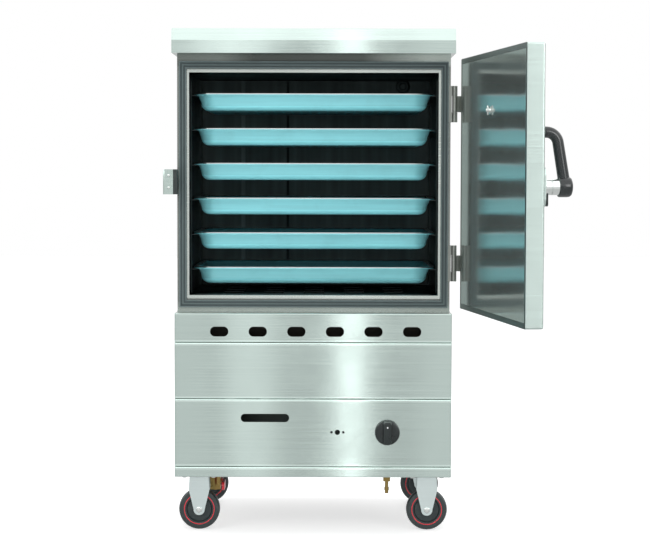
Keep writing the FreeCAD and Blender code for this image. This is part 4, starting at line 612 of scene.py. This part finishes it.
def tray_material(name, c):
    """Bright drawn sheet with pierced rows in the tray floor, painted shade on the floor between the
    holes and a painted highlight band at its foot.
    """
    hole_size, hole_rim = 0.13, 0.22
    highlight_band_top, highlight_band_edge = 12.5 * MM, 13.5 * MM
    material, w, shader = new_material(name)
    place = w.add("ShaderNodeTexCoord").outputs["Object"]
    level = w.add("ShaderNodeSeparateXYZ", {0: place}).outputs["Z"]
    pitch = sizes().hole_pitch
    cells = w.stretch(place, (1 / pitch,) * 3)
    cell = w.add("ShaderNodeVectorMath", {0: cells}, operation="FRACTION")
    centred = w.add(
        "ShaderNodeVectorMath", {0: cell.outputs[0], 1: (0.5, 0.5, 0.5)}, operation="SUBTRACT"
    )
    parts = w.add("ShaderNodeSeparateXYZ", {0: centred.outputs[0]})
    squares = [w.math("MULTIPLY", parts.outputs[axis], parts.outputs[axis]) for axis in "XY"]
    reach = w.math("SQRT", w.math("ADD", *squares))
    normal = w.add("ShaderNodeSeparateXYZ", {0: w.add("ShaderNodeNewGeometry").outputs["Normal"]})
    on_floor = w.math("GREATER_THAN", w.math("ABSOLUTE", normal.outputs["Z"]), 0.97)
    hole = w.math("MULTIPLY", w.math("LESS_THAN", reach, hole_size), on_floor)
    drawn = w.noise(w.stretch(place, (4, 4, 120)), 1.0, 4.0, 0.6)
    stain = w.noise(place, 14.0, 5.0, 0.6)
    shade = w.math("ADD", w.ramp(drawn, 0.3, 0.7, 0.93, 1.05), w.ramp(stain, 0.5, 0.8, 0.0, -0.10))
    # Painted shade darkens the tray floor between the holes; the holes stay bright as painted light
    # seen through them.
    flat = w.math("MULTIPLY", on_floor, w.math("SUBTRACT", 1.0, hole))
    shade = w.math("MULTIPLY", shade, w.ramp(flat, 0, 1, 1.0, 0.5))
    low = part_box(TRAYS[-1])[0].z
    step = (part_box(TRAYS[0])[0].z - low) / (len(TRAYS) - 1)
    # Painted highlight: a bright band at the foot of each tray wall, the wall above it a little
    # darker.
    up = w.math("MODULO", w.math("ADD", w.math("SUBTRACT", level, low), 1 * MM), step)
    shade = w.math("MULTIPLY", shade, w.ramp(up, highlight_band_top, highlight_band_edge, 1.15, 0.92))
    w.feed(shader, "Base Color", scaled(w, tuple(c.tray), shade))
    rough = w.math("ADD", w.ramp(stain, 0.4, 0.8, 0.30, 0.42), w.math("MULTIPLY", hole, 0.3))
    w.feed(shader, "Roughness", rough)
    rim = w.math("SUBTRACT", 1.0, w.ramp(reach, hole_size, hole_rim))
    height = w.math("SUBTRACT", w.math("MULTIPLY", drawn, 0.15), w.math("MULTIPLY", rim, on_floor))
    w.feed(shader, "Normal", w.bump(height, 0.35, 0.0006))
    shader.inputs["Metallic"].default_value = 0.15
    shader.inputs["Coat Weight"].default_value = 0.3
    return material


def seal_material(name, c):
    """Silicone door seal: painted shade darkens the hollows between its ribs."""
    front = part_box("door_gasket")[0].y
    dust = (0.20, 0.25, 0.26)

    def shade(w, place):
        return w.ramp(place["Y"], front + 0.4 * MM, front + 2.4 * MM, 1.0, 0.5)

    return reshade(moulded(name, c.seal, dust, 0.42, scale=500, depth=0.25, wear=0.3), shade)


def mirror_material(name, c):
    """Bright inner door sheet, pressed slightly out of true."""
    material, w, shader = new_material(name)
    place = w.add("ShaderNodeTexCoord").outputs["Object"]
    wave = w.noise(w.stretch(place, (4, 4, 9)), 1.0, 2.0, 0.5)
    grain = w.noise(w.stretch(place, (3, 3, 500)), 1.0, 3.0, 0.6)
    film = w.noise(place, 7.0, 4.0, 0.6)
    shade = w.ramp(film, 0.3, 0.7, 0.92, 1.04)
    w.feed(shader, "Base Color", scaled(w, tuple(c.door_inner), shade))
    w.feed(shader, "Roughness", w.ramp(film, 0.4, 0.8, 0.10, 0.17))
    w.feed(shader, "Normal", w.bump(wave, 0.35, 0.0014, w.bump(grain, 0.05, 0.0002)))
    shader.inputs["Metallic"].default_value = 0.72
    return material


DOOR_INWARDS = (-math.sin(DOOR_ANGLE), math.cos(DOOR_ANGLE), 0)

# Each finish by a plain name: its material's name, and what makes it from the colours
FINISHES = {
    # Where a sheet is given inner, painted shade darkens the faces turned that way.
    "steel": ("Outer Steel", lambda name, c: sheet_metal(name, c.steel, 0.13)),
    "roof": (
        "Roof Steel",
        lambda name, c: sheet_metal(name, c.steel, 0.13, inner=(0, 0, 1), inner_shade=0.62),
    ),
    "side": (
        "Side Steel",
        lambda name, c: sheet_metal(name, c.steel, 0.15, inner=(0, -1, 0), inner_shade=0.5),
    ),
    "front": ("Front Steel", front_steel),
    "back": ("Back Steel", lambda name, c: sheet_metal(name, c.steel, 0.15, inner=(0, -1, 0))),
    "door": ("Door Steel", lambda name, c: sheet_metal(name, c.steel, 0.20, inner=DOOR_INWARDS)),
    "frame": ("Frame Steel", frame_steel),
    # Painted shade: the steel inside the base is made dark.
    "shaded_interior": (
        "Heated Steel",
        lambda name, c: moulded(
            name, c.shaded_interior, (0.10, 0.08, 0.06), 0.55, metallic=0.8, scale=300, depth=0.4, wear=0.8
        ),
    ),
    "rim": (
        "Tray Rim",
        lambda name, c: sheet_metal(name, c.rim, 0.28, grain=0.3, wave=0.2, smudge=0.6, streaky=0),
    ),
    "liner": ("Chamber Steel", liner_steel),
    "chrome": (
        "Polished Latch",
        lambda name, c: sheet_metal(name, c.chrome, 0.12, grain=0.2, wave=0, streaky=0),
    ),
    "hinge": (
        "Satin Hinge",
        lambda name, c: moulded(name, c.hinge, (0.5, 0.52, 0.5), 0.34, metallic=1.0, depth=0.2),
    ),
    "fork": (
        "Zinc Fork",
        lambda name, c: sheet_metal(name, c.fork, 0.30, grain=0.15, wave=0.2, smudge=1, streaky=0),
    ),
    "seal": ("Silicone Seal", seal_material),
    "wheel": (
        "Wheel Rubber",
        lambda name, c: moulded(name, c.wheel, (0.10, 0.11, 0.11), 0.42, scale=600, wear=0.5),
    ),
    "ring": ("Wheel Ring", lambda name, c: moulded(name, c.ring, (0.75, 0.25, 0.22), 0.35, wear=0.2)),
    "grip": (
        "Gloss Grip",
        lambda name, c: moulded(
            name, c.grip, (0.05, 0.06, 0.06), 0.17, depth=0.08, wear=0.2, coat=0.3
        ),
    ),
    "knob": (
        "Knob Plastic",
        lambda name, c: moulded(name, c.knob, (0.09, 0.11, 0.11), 0.32, depth=0.2, wear=0.25),
    ),
    "mark": ("White Mark", lambda name, c: moulded(name, c.mark, (0.5, 0.5, 0.5), 0.4, wear=0.2)),
    "brass": (
        "Cast Brass",
        lambda name, c: moulded(
            name, c.brass, (0.25, 0.15, 0.06), 0.30, metallic=1.0, scale=500, depth=0.4
        ),
    ),
    "lever": (
        "Lever Coating",
        lambda name, c: moulded(
            name, c.lever, (0.25, 0.02, 0.02), 0.30, depth=0.15, wear=0.3, coat=0.2
        ),
    ),
    "iron": (
        "Painted Iron",
        lambda name, c: moulded(
            name, c.iron, (0.16, 0.10, 0.07), 0.50, metallic=0.4, scale=400, depth=0.5, wear=0.8
        ),
    ),
    "foam": (
        "Foam Core",
        lambda name, c: moulded(
            name, c.foam, (0.55, 0.45, 0.25), 0.85, scale=250, depth=0.8, wear=0.6
        ),
    ),
    "float": (
        "Float Plastic",
        lambda name, c: moulded(name, c.float, (0.45, 0.42, 0.35), 0.4, wear=0.4),
    ),
    "tray": ("Drawn Tray", tray_material),
    "mirror": ("Door Inner Sheet", mirror_material),
}


def finish(look):
    """The material of a finish, made when it is first asked for."""
    name, make = FINISHES[look]
    return bpy.data.materials.get(name) or make(name, colours())


# The frame nodes of each finish
FRAME_FINISH = {
    "steel": "base_left_panel base_right_panel base_deck keeper_bracket handle_base",
    "roof": "canopy",
    "side": "left_side_panel right_side_panel",
    "front": "vent_panel middle_panel control_panel bottom_rail",
    "back": "rear_panel",
    "door": "door_outer_skin",
    "frame": "door_frame",
    "knob": "keeper_strike",
    "liner": "chamber_liner left_runner_rack right_runner_rack chamber_floor_plate steam_outlet",
    "shaded_interior": "water_tank tank_floor base_floor",
    "mirror": "door_inner_panel",
    "foam": "wall_insulation door_insulation",
    "seal": "door_gasket",
    "hinge": "hinge_body_leaves hinge_door_leaves",
    "brass": "drain_valve_body drain_valve_plug gas_nozzle gas_tap_body gas_tap_plug float_valve",
    "iron": "drain_pipe gas_inlet_pipe gas_manifold burner",
    "float": "float_arm",
    "chrome": "knob_spindle",
    "lever": "drain_lever",
    "fork": " ".join(f"{name}_castor_fork" for name in WHEELS),
}
# Folded sheets whose edges are rounded
EDGED = (
    "base_left_panel base_right_panel left_side_panel right_side_panel "
    "door_inner_panel keeper_bracket"
).split()


class STEAMER_OT_frame_finishes(Operator):
    """Give every fixed node its finish and round the edges of the folded sheets"""

    bl_idname = "steamer.frame_finishes"
    bl_label = "Frame finishes"

    def execute(self, context):
        for look, names in FRAME_FINISH.items():
            for name in names.split():
                painted(frame["nodes"][name], finish(look))
        for name in EDGED:
            node = frame["nodes"][name]
            weld = node.modifiers.new("Weld", "WELD")
            weld.merge_threshold = 0.00002
            edge = node.modifiers.new("Edge", "BEVEL")
            edge.width = sizes().sheet_edge
            edge.segments = 2
            edge.limit_method = "ANGLE"
            edge.angle_limit = math.radians(50)
            edge.harden_normals = True
        return {"FINISHED"}


class STEAMER_OT_trays(Operator):
    """Draw one tray from a flat blank and set a copy on every pair of ledges"""

    bl_idname = "steamer.trays"
    bl_label = "Trays"

    def execute(self, context):
        low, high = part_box(TRAYS[0])
        blank = self.drawn(low, high)
        for face in blank.data.polygons:
            face.material_index = int(face.center.z > high.z - 2.4 * MM)
        bare = [face.material_index for face in blank.data.polygons]
        for name in TRAYS:
            tray = copied(blank, name.replace("tray", "steaming_tray"))
            put(tray, (0, 0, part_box(name)[1].z - high.z))
            painted(tray, finish("tray"), finish("rim"))
            tray.data.polygons.foreach_set("material_index", bare)
            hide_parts(name)
            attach(tray, name)
        bpy.data.objects.remove(blank)
        return {"FINISHED"}

    def drawn(self, low, high):
        """One tray of sheet: rim, tapered wall, rounded foot and a turned-down lip."""
        s = sizes()
        blank = start_plane("tray_blank", low, high, high.z)
        edit(blank, "VERT")
        bpy.ops.mesh.select_all(action="SELECT")
        bpy.ops.mesh.bevel(offset=s.tray_corner, segments=10, affect="VERTICES")
        bpy.ops.mesh.select_mode(type="FACE")
        bpy.ops.mesh.select_all(action="SELECT")
        shoulder = 1.8 * MM
        wall = high.z - low.z - s.tray_sheet - s.tray_foot - shoulder
        steps = [
            (s.tray_rim - 1 * MM, 0),
            (1 * MM, shoulder / 3),
            (0.6 * MM, shoulder * 2 / 3),
            (s.tray_draft, wall),
        ]
        arc = 6
        for step in range(arc):
            a, b = (math.pi / 2 * (step + k) / arc for k in (0, 1))
            inward = s.tray_foot * (math.cos(a) - math.cos(b))
            steps.append((inward, s.tray_foot * (math.sin(b) - math.sin(a))))
        for inward, down in steps:
            bpy.ops.mesh.inset(thickness=inward, depth=-down)
        done()
        edit(blank, "EDGE")
        bpy.ops.mesh.select_non_manifold()
        for drop in (2.2 * MM, 2.8 * MM):
            bpy.ops.mesh.extrude_edges_move(TRANSFORM_OT_translate={"value": (0, 0, -drop)})
        done()
        face_outwards(blank)
        if max(blank.data.polygons, key=lambda face: face.area).normal.z < 0:
            edit(blank)
            bpy.ops.mesh.select_all(action="SELECT")
            bpy.ops.mesh.flip_normals()
            done()
        apply(blank, "SOLIDIFY", thickness=s.tray_sheet, offset=-1, use_even_offset=True)
        return smooth(blank, 40)


class STEAMER_OT_castors(Operator):
    """Build one castor, fork and wheel, and stand a copy under each corner"""

    bl_idname = "steamer.castors"
    bl_label = "Castors"

    def execute(self, context):
        name = WHEELS[0]
        low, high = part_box(f"{name}_castor_fork")
        wheel_low, wheel_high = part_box(f"{name}_wheel")
        middle = (wheel_low + wheel_high) / 2
        radius = (wheel_high.z - wheel_low.z) / 2
        half = (wheel_high.y - wheel_low.y) / 2
        race = self.race(high, middle)
        wheel = self.wheel(middle, radius / MM, half / MM)
        ring = self.ring(middle, half)
        nuts = self.nuts(low, high, middle)
        for other in WHEELS:
            turning = f"{other}_wheel"
            a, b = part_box(turning)
            shift = (a + b) / 2 - middle
            for piece, look, body, slot, node in (
                (race, "fork", "cabinet", "fork_zinc", None),
                (nuts, "chrome", "cabinet", "fork_zinc", None),
                (wheel, "wheel", turning, "wheel_rubber", turning),
                (ring, "ring", turning, "wheel_rubber", None),
            ):
                each = copied(piece, f"{other}_{piece.name}")
                fitted(put(each, shift), look, body, node)
        for piece in (race, wheel, ring, nuts):
            bpy.data.objects.remove(piece)
        return {"FINISHED"}

    def race(self, high, middle):
        """Pressed ring and rivet head between the fork's crown and its plate."""
        plate_thick = 3 * MM
        stations = [(20, 0), (22.4, 1.5), (22.4, 4), (19, 5)]
        return smooth(turned("race", stations, (middle.x, middle.y, high.z - plate_thick - 5 * MM)))

    def wheel(self, middle, radius, half):
        """Tread with a crown, raised sidewall, dished web and centre boss."""
        profile = [
            (10, half - 1),
            (13, half - 2),
            (15, half - 6),
            (29, half - 6),
            (32, half - 1.5),
            (44, half),
            (47, half - 1),
            (radius - 0.6, half - 5),
            (radius, half - 10),
        ]
        stations = [(r, -y) for r, y in profile] + [(r, y) for r, y in reversed(profile)]
        return smooth(turned("wheel", stations, middle, "Y", sides=72), 32)

    def ring(self, middle, half):
        """The coloured ring inlaid in both faces of the wheel."""
        rings = []
        for side in (-1, 1):
            at = middle + Vector((0, side * (half - 0.9 * MM), 0))
            clear_selection()
            bpy.ops.mesh.primitive_torus_add(
                major_radius=sizes().ring_radius,
                minor_radius=1.15 * MM,
                major_segments=72,
                minor_segments=10,
                rotation=(math.pi / 2, 0, 0),
                location=at,
            )
            ring = named("ring")
            edit(ring)
            bpy.ops.mesh.select_all(action="SELECT")
            bpy.ops.transform.resize(value=(1, 0.55, 1), center_override=tuple(at))
            done()
            rings.append(smooth(ring, 60))
        return joined("wheel_ring", *rings)

    def nuts(self, low, high, middle):
        """Axle bolt and nut, and the four bolts of the top plate."""
        nut = [(8, 0), (8, 4), (7, 5), (4, 5.2), (4, 6.5)]
        bolt = [(6, 0), (6, 3), (5, 3.8)]
        fork_half = 21 * MM
        pieces = [
            turned("nut", nut, (middle.x, middle.y + side * fork_half, middle.z), axis, sides=6)
            for axis, side in (("-Y", -1), ("Y", 1))
        ]
        for x in (low.x + 12 * MM, high.x - 12 * MM):
            for y in (low.y + 10 * MM, high.y - 10 * MM):
                pieces.append(turned("bolt", bolt, (x, y, high.z - 3 * MM), "-Z", sides=6))
        return soften(joined("castor_bolts", *pieces), 0.4 * MM, segments=1)


def shut_latch():
    """Where the latch axis meets its plate with the door shut."""
    pivot = Vector(HINGE["pos_m"])
    return Matrix.Rotation(-DOOR_ANGLE, 3, "Z") @ (Vector(LATCH["pos_m"]) - pivot) + pivot


class STEAMER_OT_latch(Operator):
    """Build the latch handle on the open door"""

    bl_idname = "steamer.latch"
    bl_label = "Latch handle"

    def execute(self, context):
        x, y, z = shut_latch()
        stem = turned(
            "stem",
            [
                (20, 0),
                (20.5, 1),
                (20.5, 2.4),
                (17.5, 3),
                (17.5, 14),
                (16.9, 14.6),
                (16.9, 15.8),
                (17.5, 16.4),
                (17.5, 33.5),
            ],
            (x, y, z),
            "-Y",
        )
        painted(smooth(stem), finish("chrome"))
        cam_at = (x, y - 3.5 * MM, z - 20 * MM)
        cam = plate("cam", cam_at, 22 * MM, 43 * MM, 6 * MM, 4 * MM, 0.8 * MM)
        # The cam takes the dark grip finish, partly as painted shade for the dark patch below the
        # stem.
        painted(cam, finish("grip"))
        body = hang(joined("latch_body", stem, cam))
        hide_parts("latch_stem")
        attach(body, "latch")
        grip = self.grip(x, y, z)
        fitted(hang(grip), "grip", "latch", "handle_grip")
        screws = [
            screw("screw", (x, y + 0.5 * MM, z + up * MM), "-Y", 3.2 * MM) for up in (-36, 36)
        ]
        fitted(hang(joined("latch_screws", *screws)), "chrome", "door")
        return {"FINISHED"}

    def grip(self, x, y, z):
        """Grip: a round boss drawn up into a leaning bar that bends back to the door."""
        stem_end = y - 34 * MM
        boss = turned(
            "boss",
            [(20, 0), (21.6, 0.8), (22, 3), (22, 20), (21.2, 24), (19, 27), (15, 28.6)],
            (x, stem_end + 2.5 * MM, z),
            "-Y",
        )
        smooth(boss)
        root_y = stem_end - 12 * MM
        lean = math.radians(9.5)
        reach, bend, level, steps = 116 * MM, 26 * MM, 6 * MM, 5
        run = (reach - bend * (1 - math.sin(lean))) / math.cos(lean)
        clear_selection()
        bpy.ops.mesh.primitive_circle_add(
            vertices=32, radius=12.8 * MM, fill_type="NGON", location=(0, 0, 0)
        )
        bar = named("bar")
        edit(bar)
        bpy.ops.mesh.select_all(action="SELECT")
        bpy.ops.transform.translate(value=(0, 0, level))
        for step in range(steps):
            rise = (run - level) / steps
            bpy.ops.mesh.extrude_region_move(TRANSFORM_OT_translate={"value": (0, 0, rise)})
            at = (0, 0, level + rise * (step + 1))
            bpy.ops.transform.resize(value=(0.99, 0.99, 1), center_override=at)
        bpy.ops.mesh.spin(
            steps=10, angle=math.pi / 2 - lean, center=(0, bend, run), axis=(1, 0, 0)
        )
        done()
        put(bar, (x, root_y, z), (-lean, 0, 0))
        back = root_y + run * math.sin(lean) + bend * math.cos(lean)
        pick_faces(
            bar,
            lambda at, normal: normal.y > 0.95 and at.y > back - 2 * MM and at.z > z + 60 * MM,
        )
        onward = y - 1.5 * MM - back
        bpy.ops.mesh.extrude_region_move(TRANSFORM_OT_translate={"value": (0, onward, 0)})
        bpy.ops.mesh.inset(thickness=1.6 * MM, depth=1.4 * MM)
        done()
        face_outwards(bar)
        return joined("latch_grip", boss, smooth(bar, 40))


class STEAMER_OT_knob(Operator):
    """Build the gas knob with its grip bar and pointer mark"""

    bl_idname = "steamer.knob"
    bl_label = "Gas knob"

    def execute(self, context):
        low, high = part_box("control_knob")
        x, z = (low.x + high.x) / 2, (low.z + high.z) / 2
        radius = (high.x - low.x) / 2 / MM
        profile = [
            (radius - 1.5, 0),
            (radius, 1),
            (radius, 6),
            (radius - 1, 8),
            (radius - 4, 9),
            (radius - 10, 9.6),
        ]
        skirt = smooth(turned("skirt", profile, (x, high.y, z), "-Y"))
        top = 19.2 * MM
        bar_low = (-(radius - 1.5) * MM, -11.5 * MM, 0)
        bar = start_box("bar", bar_low, ((radius - 3.5) * MM, 11.5 * MM, top))
        pick_faces(bar, lambda at, normal: normal.z > 0.9)
        bpy.ops.transform.resize(value=(0.95, 0.84, 1), center_override=(0, 0, top))
        done()
        pick_edges(bar, lambda at, along: abs(along.z) > 0.8)
        bpy.ops.mesh.bevel(offset=6 * MM, segments=5, affect="EDGES")
        done()
        soften(bar, 1.6 * MM, 3)
        put(bar, (x, high.y - 6 * MM, z), (math.pi / 2, math.pi / 2, 0))
        knob = joined("gas_knob", skirt, bar)
        fitted(knob, "knob", "knob", "control_knob")
        dot_at = (x, low.y + 0.9 * MM, z + 15 * MM)
        dot = turned("pointer_mark", [(2, 0), (2, 0.35), (1.6, 0.6)], dot_at, "-Y", sides=24)
        fitted(dot, "mark", "knob")
        return {"FINISHED"}


class STEAMER_OT_small_fittings(Operator):
    """Add the screws, the steam outlet's rosette and the fixing on the door's inner sheet"""

    bl_idname = "steamer.small_fittings"
    bl_label = "Small fittings"

    def execute(self, context):
        self.keeper_screws()
        self.hinge_screws()
        self.rosette()
        self.door_fixing()
        return {"FINISHED"}

    def keeper_screws(self):
        low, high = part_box("keeper_bracket")
        middle = (low.z + high.z) / 2
        screws = [
            screw("screw", (low.x + 14 * MM, low.y, middle + up * MM)) for up in (-14, 15)
        ]
        fitted(joined("keeper_screws", *screws), "chrome", "cabinet")

    def hinge_screws(self):
        low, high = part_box("hinge_body_leaves")
        leaf_tall = 88 * MM
        x = high.x - 19 * MM
        y = (low.y + high.y) / 2 + 12 * MM
        screws = [
            screw("screw", (x, y, base + up * MM), "X", 3.4 * MM)
            for base in (low.z, high.z - leaf_tall)
            for up in (12, 44, 76)
        ]
        fitted(joined("hinge_screws", *screws), "hinge", "cabinet")

    def rosette(self):
        low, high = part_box("steam_outlet")
        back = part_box("chamber_liner")[1].y - 1.2 * MM
        rose = turned(
            "outlet_rosette",
            [(19, 0), (19, 1), (16, 3), (11, 3.6), (9, 3), (7.4, 1.2)],
            ((low.x + high.x) / 2, back, (low.z + high.z) / 2),
            "-Y",
        )
        fitted(smooth(rose), "liner", "cabinet")

    def door_fixing(self):
        """The winged fixing on the door's inner sheet, near the hinges."""
        pivot = Vector(HINGE["pos_m"])
        at = Vector((pivot.x - 0.326, pivot.y - 12.3 * MM, 1.016))
        profile = [(9, 0), (9, 0.8), (5, 1.6), (4.5, 9), (3.4, 10)]
        boss = smooth(turned("boss", profile, at, "Y", sides=32))
        wing_low = at + Vector((-3, 3, -11)) * MM
        wing = start_box("wing", wing_low, at + Vector((3, 7, 11)) * MM)
        soften(wing, 1.5 * MM, 3)
        fitted(hang(joined("door_fixing", boss, wing)), "chrome", "door")


class STEAMER_OT_stage(Operator):
    """Set the camera, the pale floor, the lamps and the white surroundings"""

    bl_idname = "steamer.stage"
    bl_label = "Studio stage"

    def execute(self, context):
        scene = context.scene
        self.camera(scene)
        self.floor()
        self.lamps()
        self.world(scene)
        scene.view_settings.view_transform = "Standard"
        return {"FINISHED"}

    def camera(self, scene):
        data = bpy.data.cameras.new("Camera")
        data.lens = 108.44
        data.sensor_width = 36
        data.clip_end = 60
        camera = bpy.data.objects.new("Camera", data)
        scene.collection.objects.link(camera)
        turn = (
            Matrix.Rotation(math.radians(0.18), 4, "Z")
            @ Matrix.Rotation(math.radians(90 - 3.12), 4, "X")
            @ Matrix.Rotation(math.radians(0.14), 4, "Z")
        )
        camera.matrix_world = Matrix.Translation((0.0431, -4.973, 0.8759)) @ turn
        scene.camera = camera

    def floor(self):
        floor = start_plane("studio_floor", (-15, -15), (15, 15), 0)
        material, w, shader = new_material("Pale Floor")
        place = w.add("ShaderNodeTexCoord").outputs["Object"]
        cloudy = w.ramp(w.noise(place, 3.0), 0.3, 0.7, 0.985, 1.0)
        w.feed(shader, "Base Color", scaled(w, tuple(colours().floor), cloudy))
        shader.inputs["Roughness"].default_value = 0.6
        shader.inputs["Specular IOR Level"].default_value = 0.2
        seen = w.add("ShaderNodeLightPath")
        lift = w.math("MULTIPLY", seen.outputs["Is Camera Ray"], 0.60)
        w.feed(shader, "Emission Strength", lift)
        shader.inputs["Emission Color"].default_value = (1, 1, 1, 1)
        painted(floor, material)
        floor.visible_glossy = False

    def lamps(self):
        """Soft boxes for the light, and tall strips for the bright columns in the steel."""
        for name, at, aim, wide, tall, power in (
            ("Key", (-2.6, -3.4, 2.9), (0, 0, 0.6), 1.8, 1.8, 26),
            ("Fill", (2.8, -3.8, 1.8), (0, 0, 0.6), 1.6, 1.6, 26),
            ("Low", (0.1, -3.0, 0.25), (0, 0, 0.7), 2.4, 0.4, 26),
            ("Top", (0.0, 0.6, 3.6), (0, 0, 0), 2.2, 2.2, 40),
            ("Back", (0.5, 3.2, 2.4), (0, 0, 0.6), 1.8, 1.8, 20),
            ("Middle strip", (0.145, -6.4, 0.9), (0.145, 0, 0.9), 0.15, 5.0, 3.2),
            ("Left strip", (-0.41, -6.4, 0.9), (-0.41, 0, 0.9), 0.26, 5.0, 1.6),
            ("Far left strip", (-0.84, -6.4, 0.9), (-0.84, 0, 0.9), 0.40, 5.0, 0.9),
            ("Right strip", (0.68, -6.4, 0.9), (0.68, 0, 0.9), 0.30, 5.0, 0.9),
            ("Canopy strip", (-0.52, -6.4, 1.55), (-0.52, 0, 1.55), 0.35, 0.5, 0.5),
            ("Door strip", (2.8, -6.4, 0.9), (0.5, -0.8, 0.9), 0.70, 5.0, 3.0),
        ):
            data = bpy.data.lights.new(name, "AREA")
            data.shape = "RECTANGLE"
            data.size = wide
            data.size_y = tall
            data.energy = power
            lamp = bpy.data.objects.new(name, data)
            lamp.location = at
            lamp.rotation_euler = (Vector(aim) - Vector(at)).to_track_quat("-Z", "Y").to_euler()
            bpy.context.scene.collection.objects.link(lamp)
            if name in ("Key", "Fill", "Low", "Top", "Back"):
                lamp.visible_glossy = name in ("Key", "Fill")

    def world(self, scene):
        world = bpy.data.worlds.new("White Surround")
        scene.world = world
        world.use_nodes = True
        w = Wiring(world.node_tree)
        back = world.node_tree.nodes["Background"]
        back.inputs["Color"].default_value = (1, 1, 1, 1)
        seen = w.add("ShaderNodeLightPath")
        way = w.add("ShaderNodeSeparateXYZ", {0: w.add("ShaderNodeTexCoord").outputs["Generated"]})
        ceiling = w.ramp(way.outputs["Z"], 0.06, 0.35, 0.12, 0.95)
        rest = w.math("ADD", w.math("MULTIPLY", seen.outputs["Is Glossy Ray"], ceiling), 0.48)
        w.feed(back, "Strength", w.math("MAXIMUM", seen.outputs["Is Camera Ray"], rest))


OPERATORS = (
    STEAMER_OT_frame_finishes,
    STEAMER_OT_trays,
    STEAMER_OT_castors,
    STEAMER_OT_latch,
    STEAMER_OT_knob,
    STEAMER_OT_small_fittings,
    STEAMER_OT_stage,
)


class STEAMER_PT_sidebar(Panel):
    """Lists the pieces of the cabinet and their sizes"""

    bl_idname = "STEAMER_PT_sidebar"
    bl_label = "Steamer Cabinet"
    bl_space_type = "VIEW_3D"
    bl_region_type = "UI"
    bl_category = "Steamer"

    def draw(self, context):
        for values in (context.scene.steamer_sizes, context.scene.steamer_colours):
            column = self.layout.column(align=True)
            for key in values.__annotations__:
                column.prop(values, key)
        for operator in OPERATORS:
            self.layout.operator(operator.bl_idname)


CLASSES = (STEAMER_PG_sizes, STEAMER_PG_colours, *OPERATORS, STEAMER_PT_sidebar)


def register():
    for each in CLASSES:
        bpy.utils.register_class(each)
    bpy.types.Scene.steamer_sizes = PointerProperty(type=STEAMER_PG_sizes)
    bpy.types.Scene.steamer_colours = PointerProperty(type=STEAMER_PG_colours)


def unregister():
    del bpy.types.Scene.steamer_colours
    del bpy.types.Scene.steamer_sizes
    for each in reversed(CLASSES):
        bpy.utils.unregister_class(each)


def main():
    register()
    bpy.ops.steamer.frame_finishes()
    bpy.ops.steamer.trays()
    bpy.ops.steamer.castors()
    bpy.ops.steamer.latch()
    bpy.ops.steamer.knob()
    bpy.ops.steamer.small_fittings()
    bpy.ops.steamer.stage()


if __name__ == "__main__":
    main()
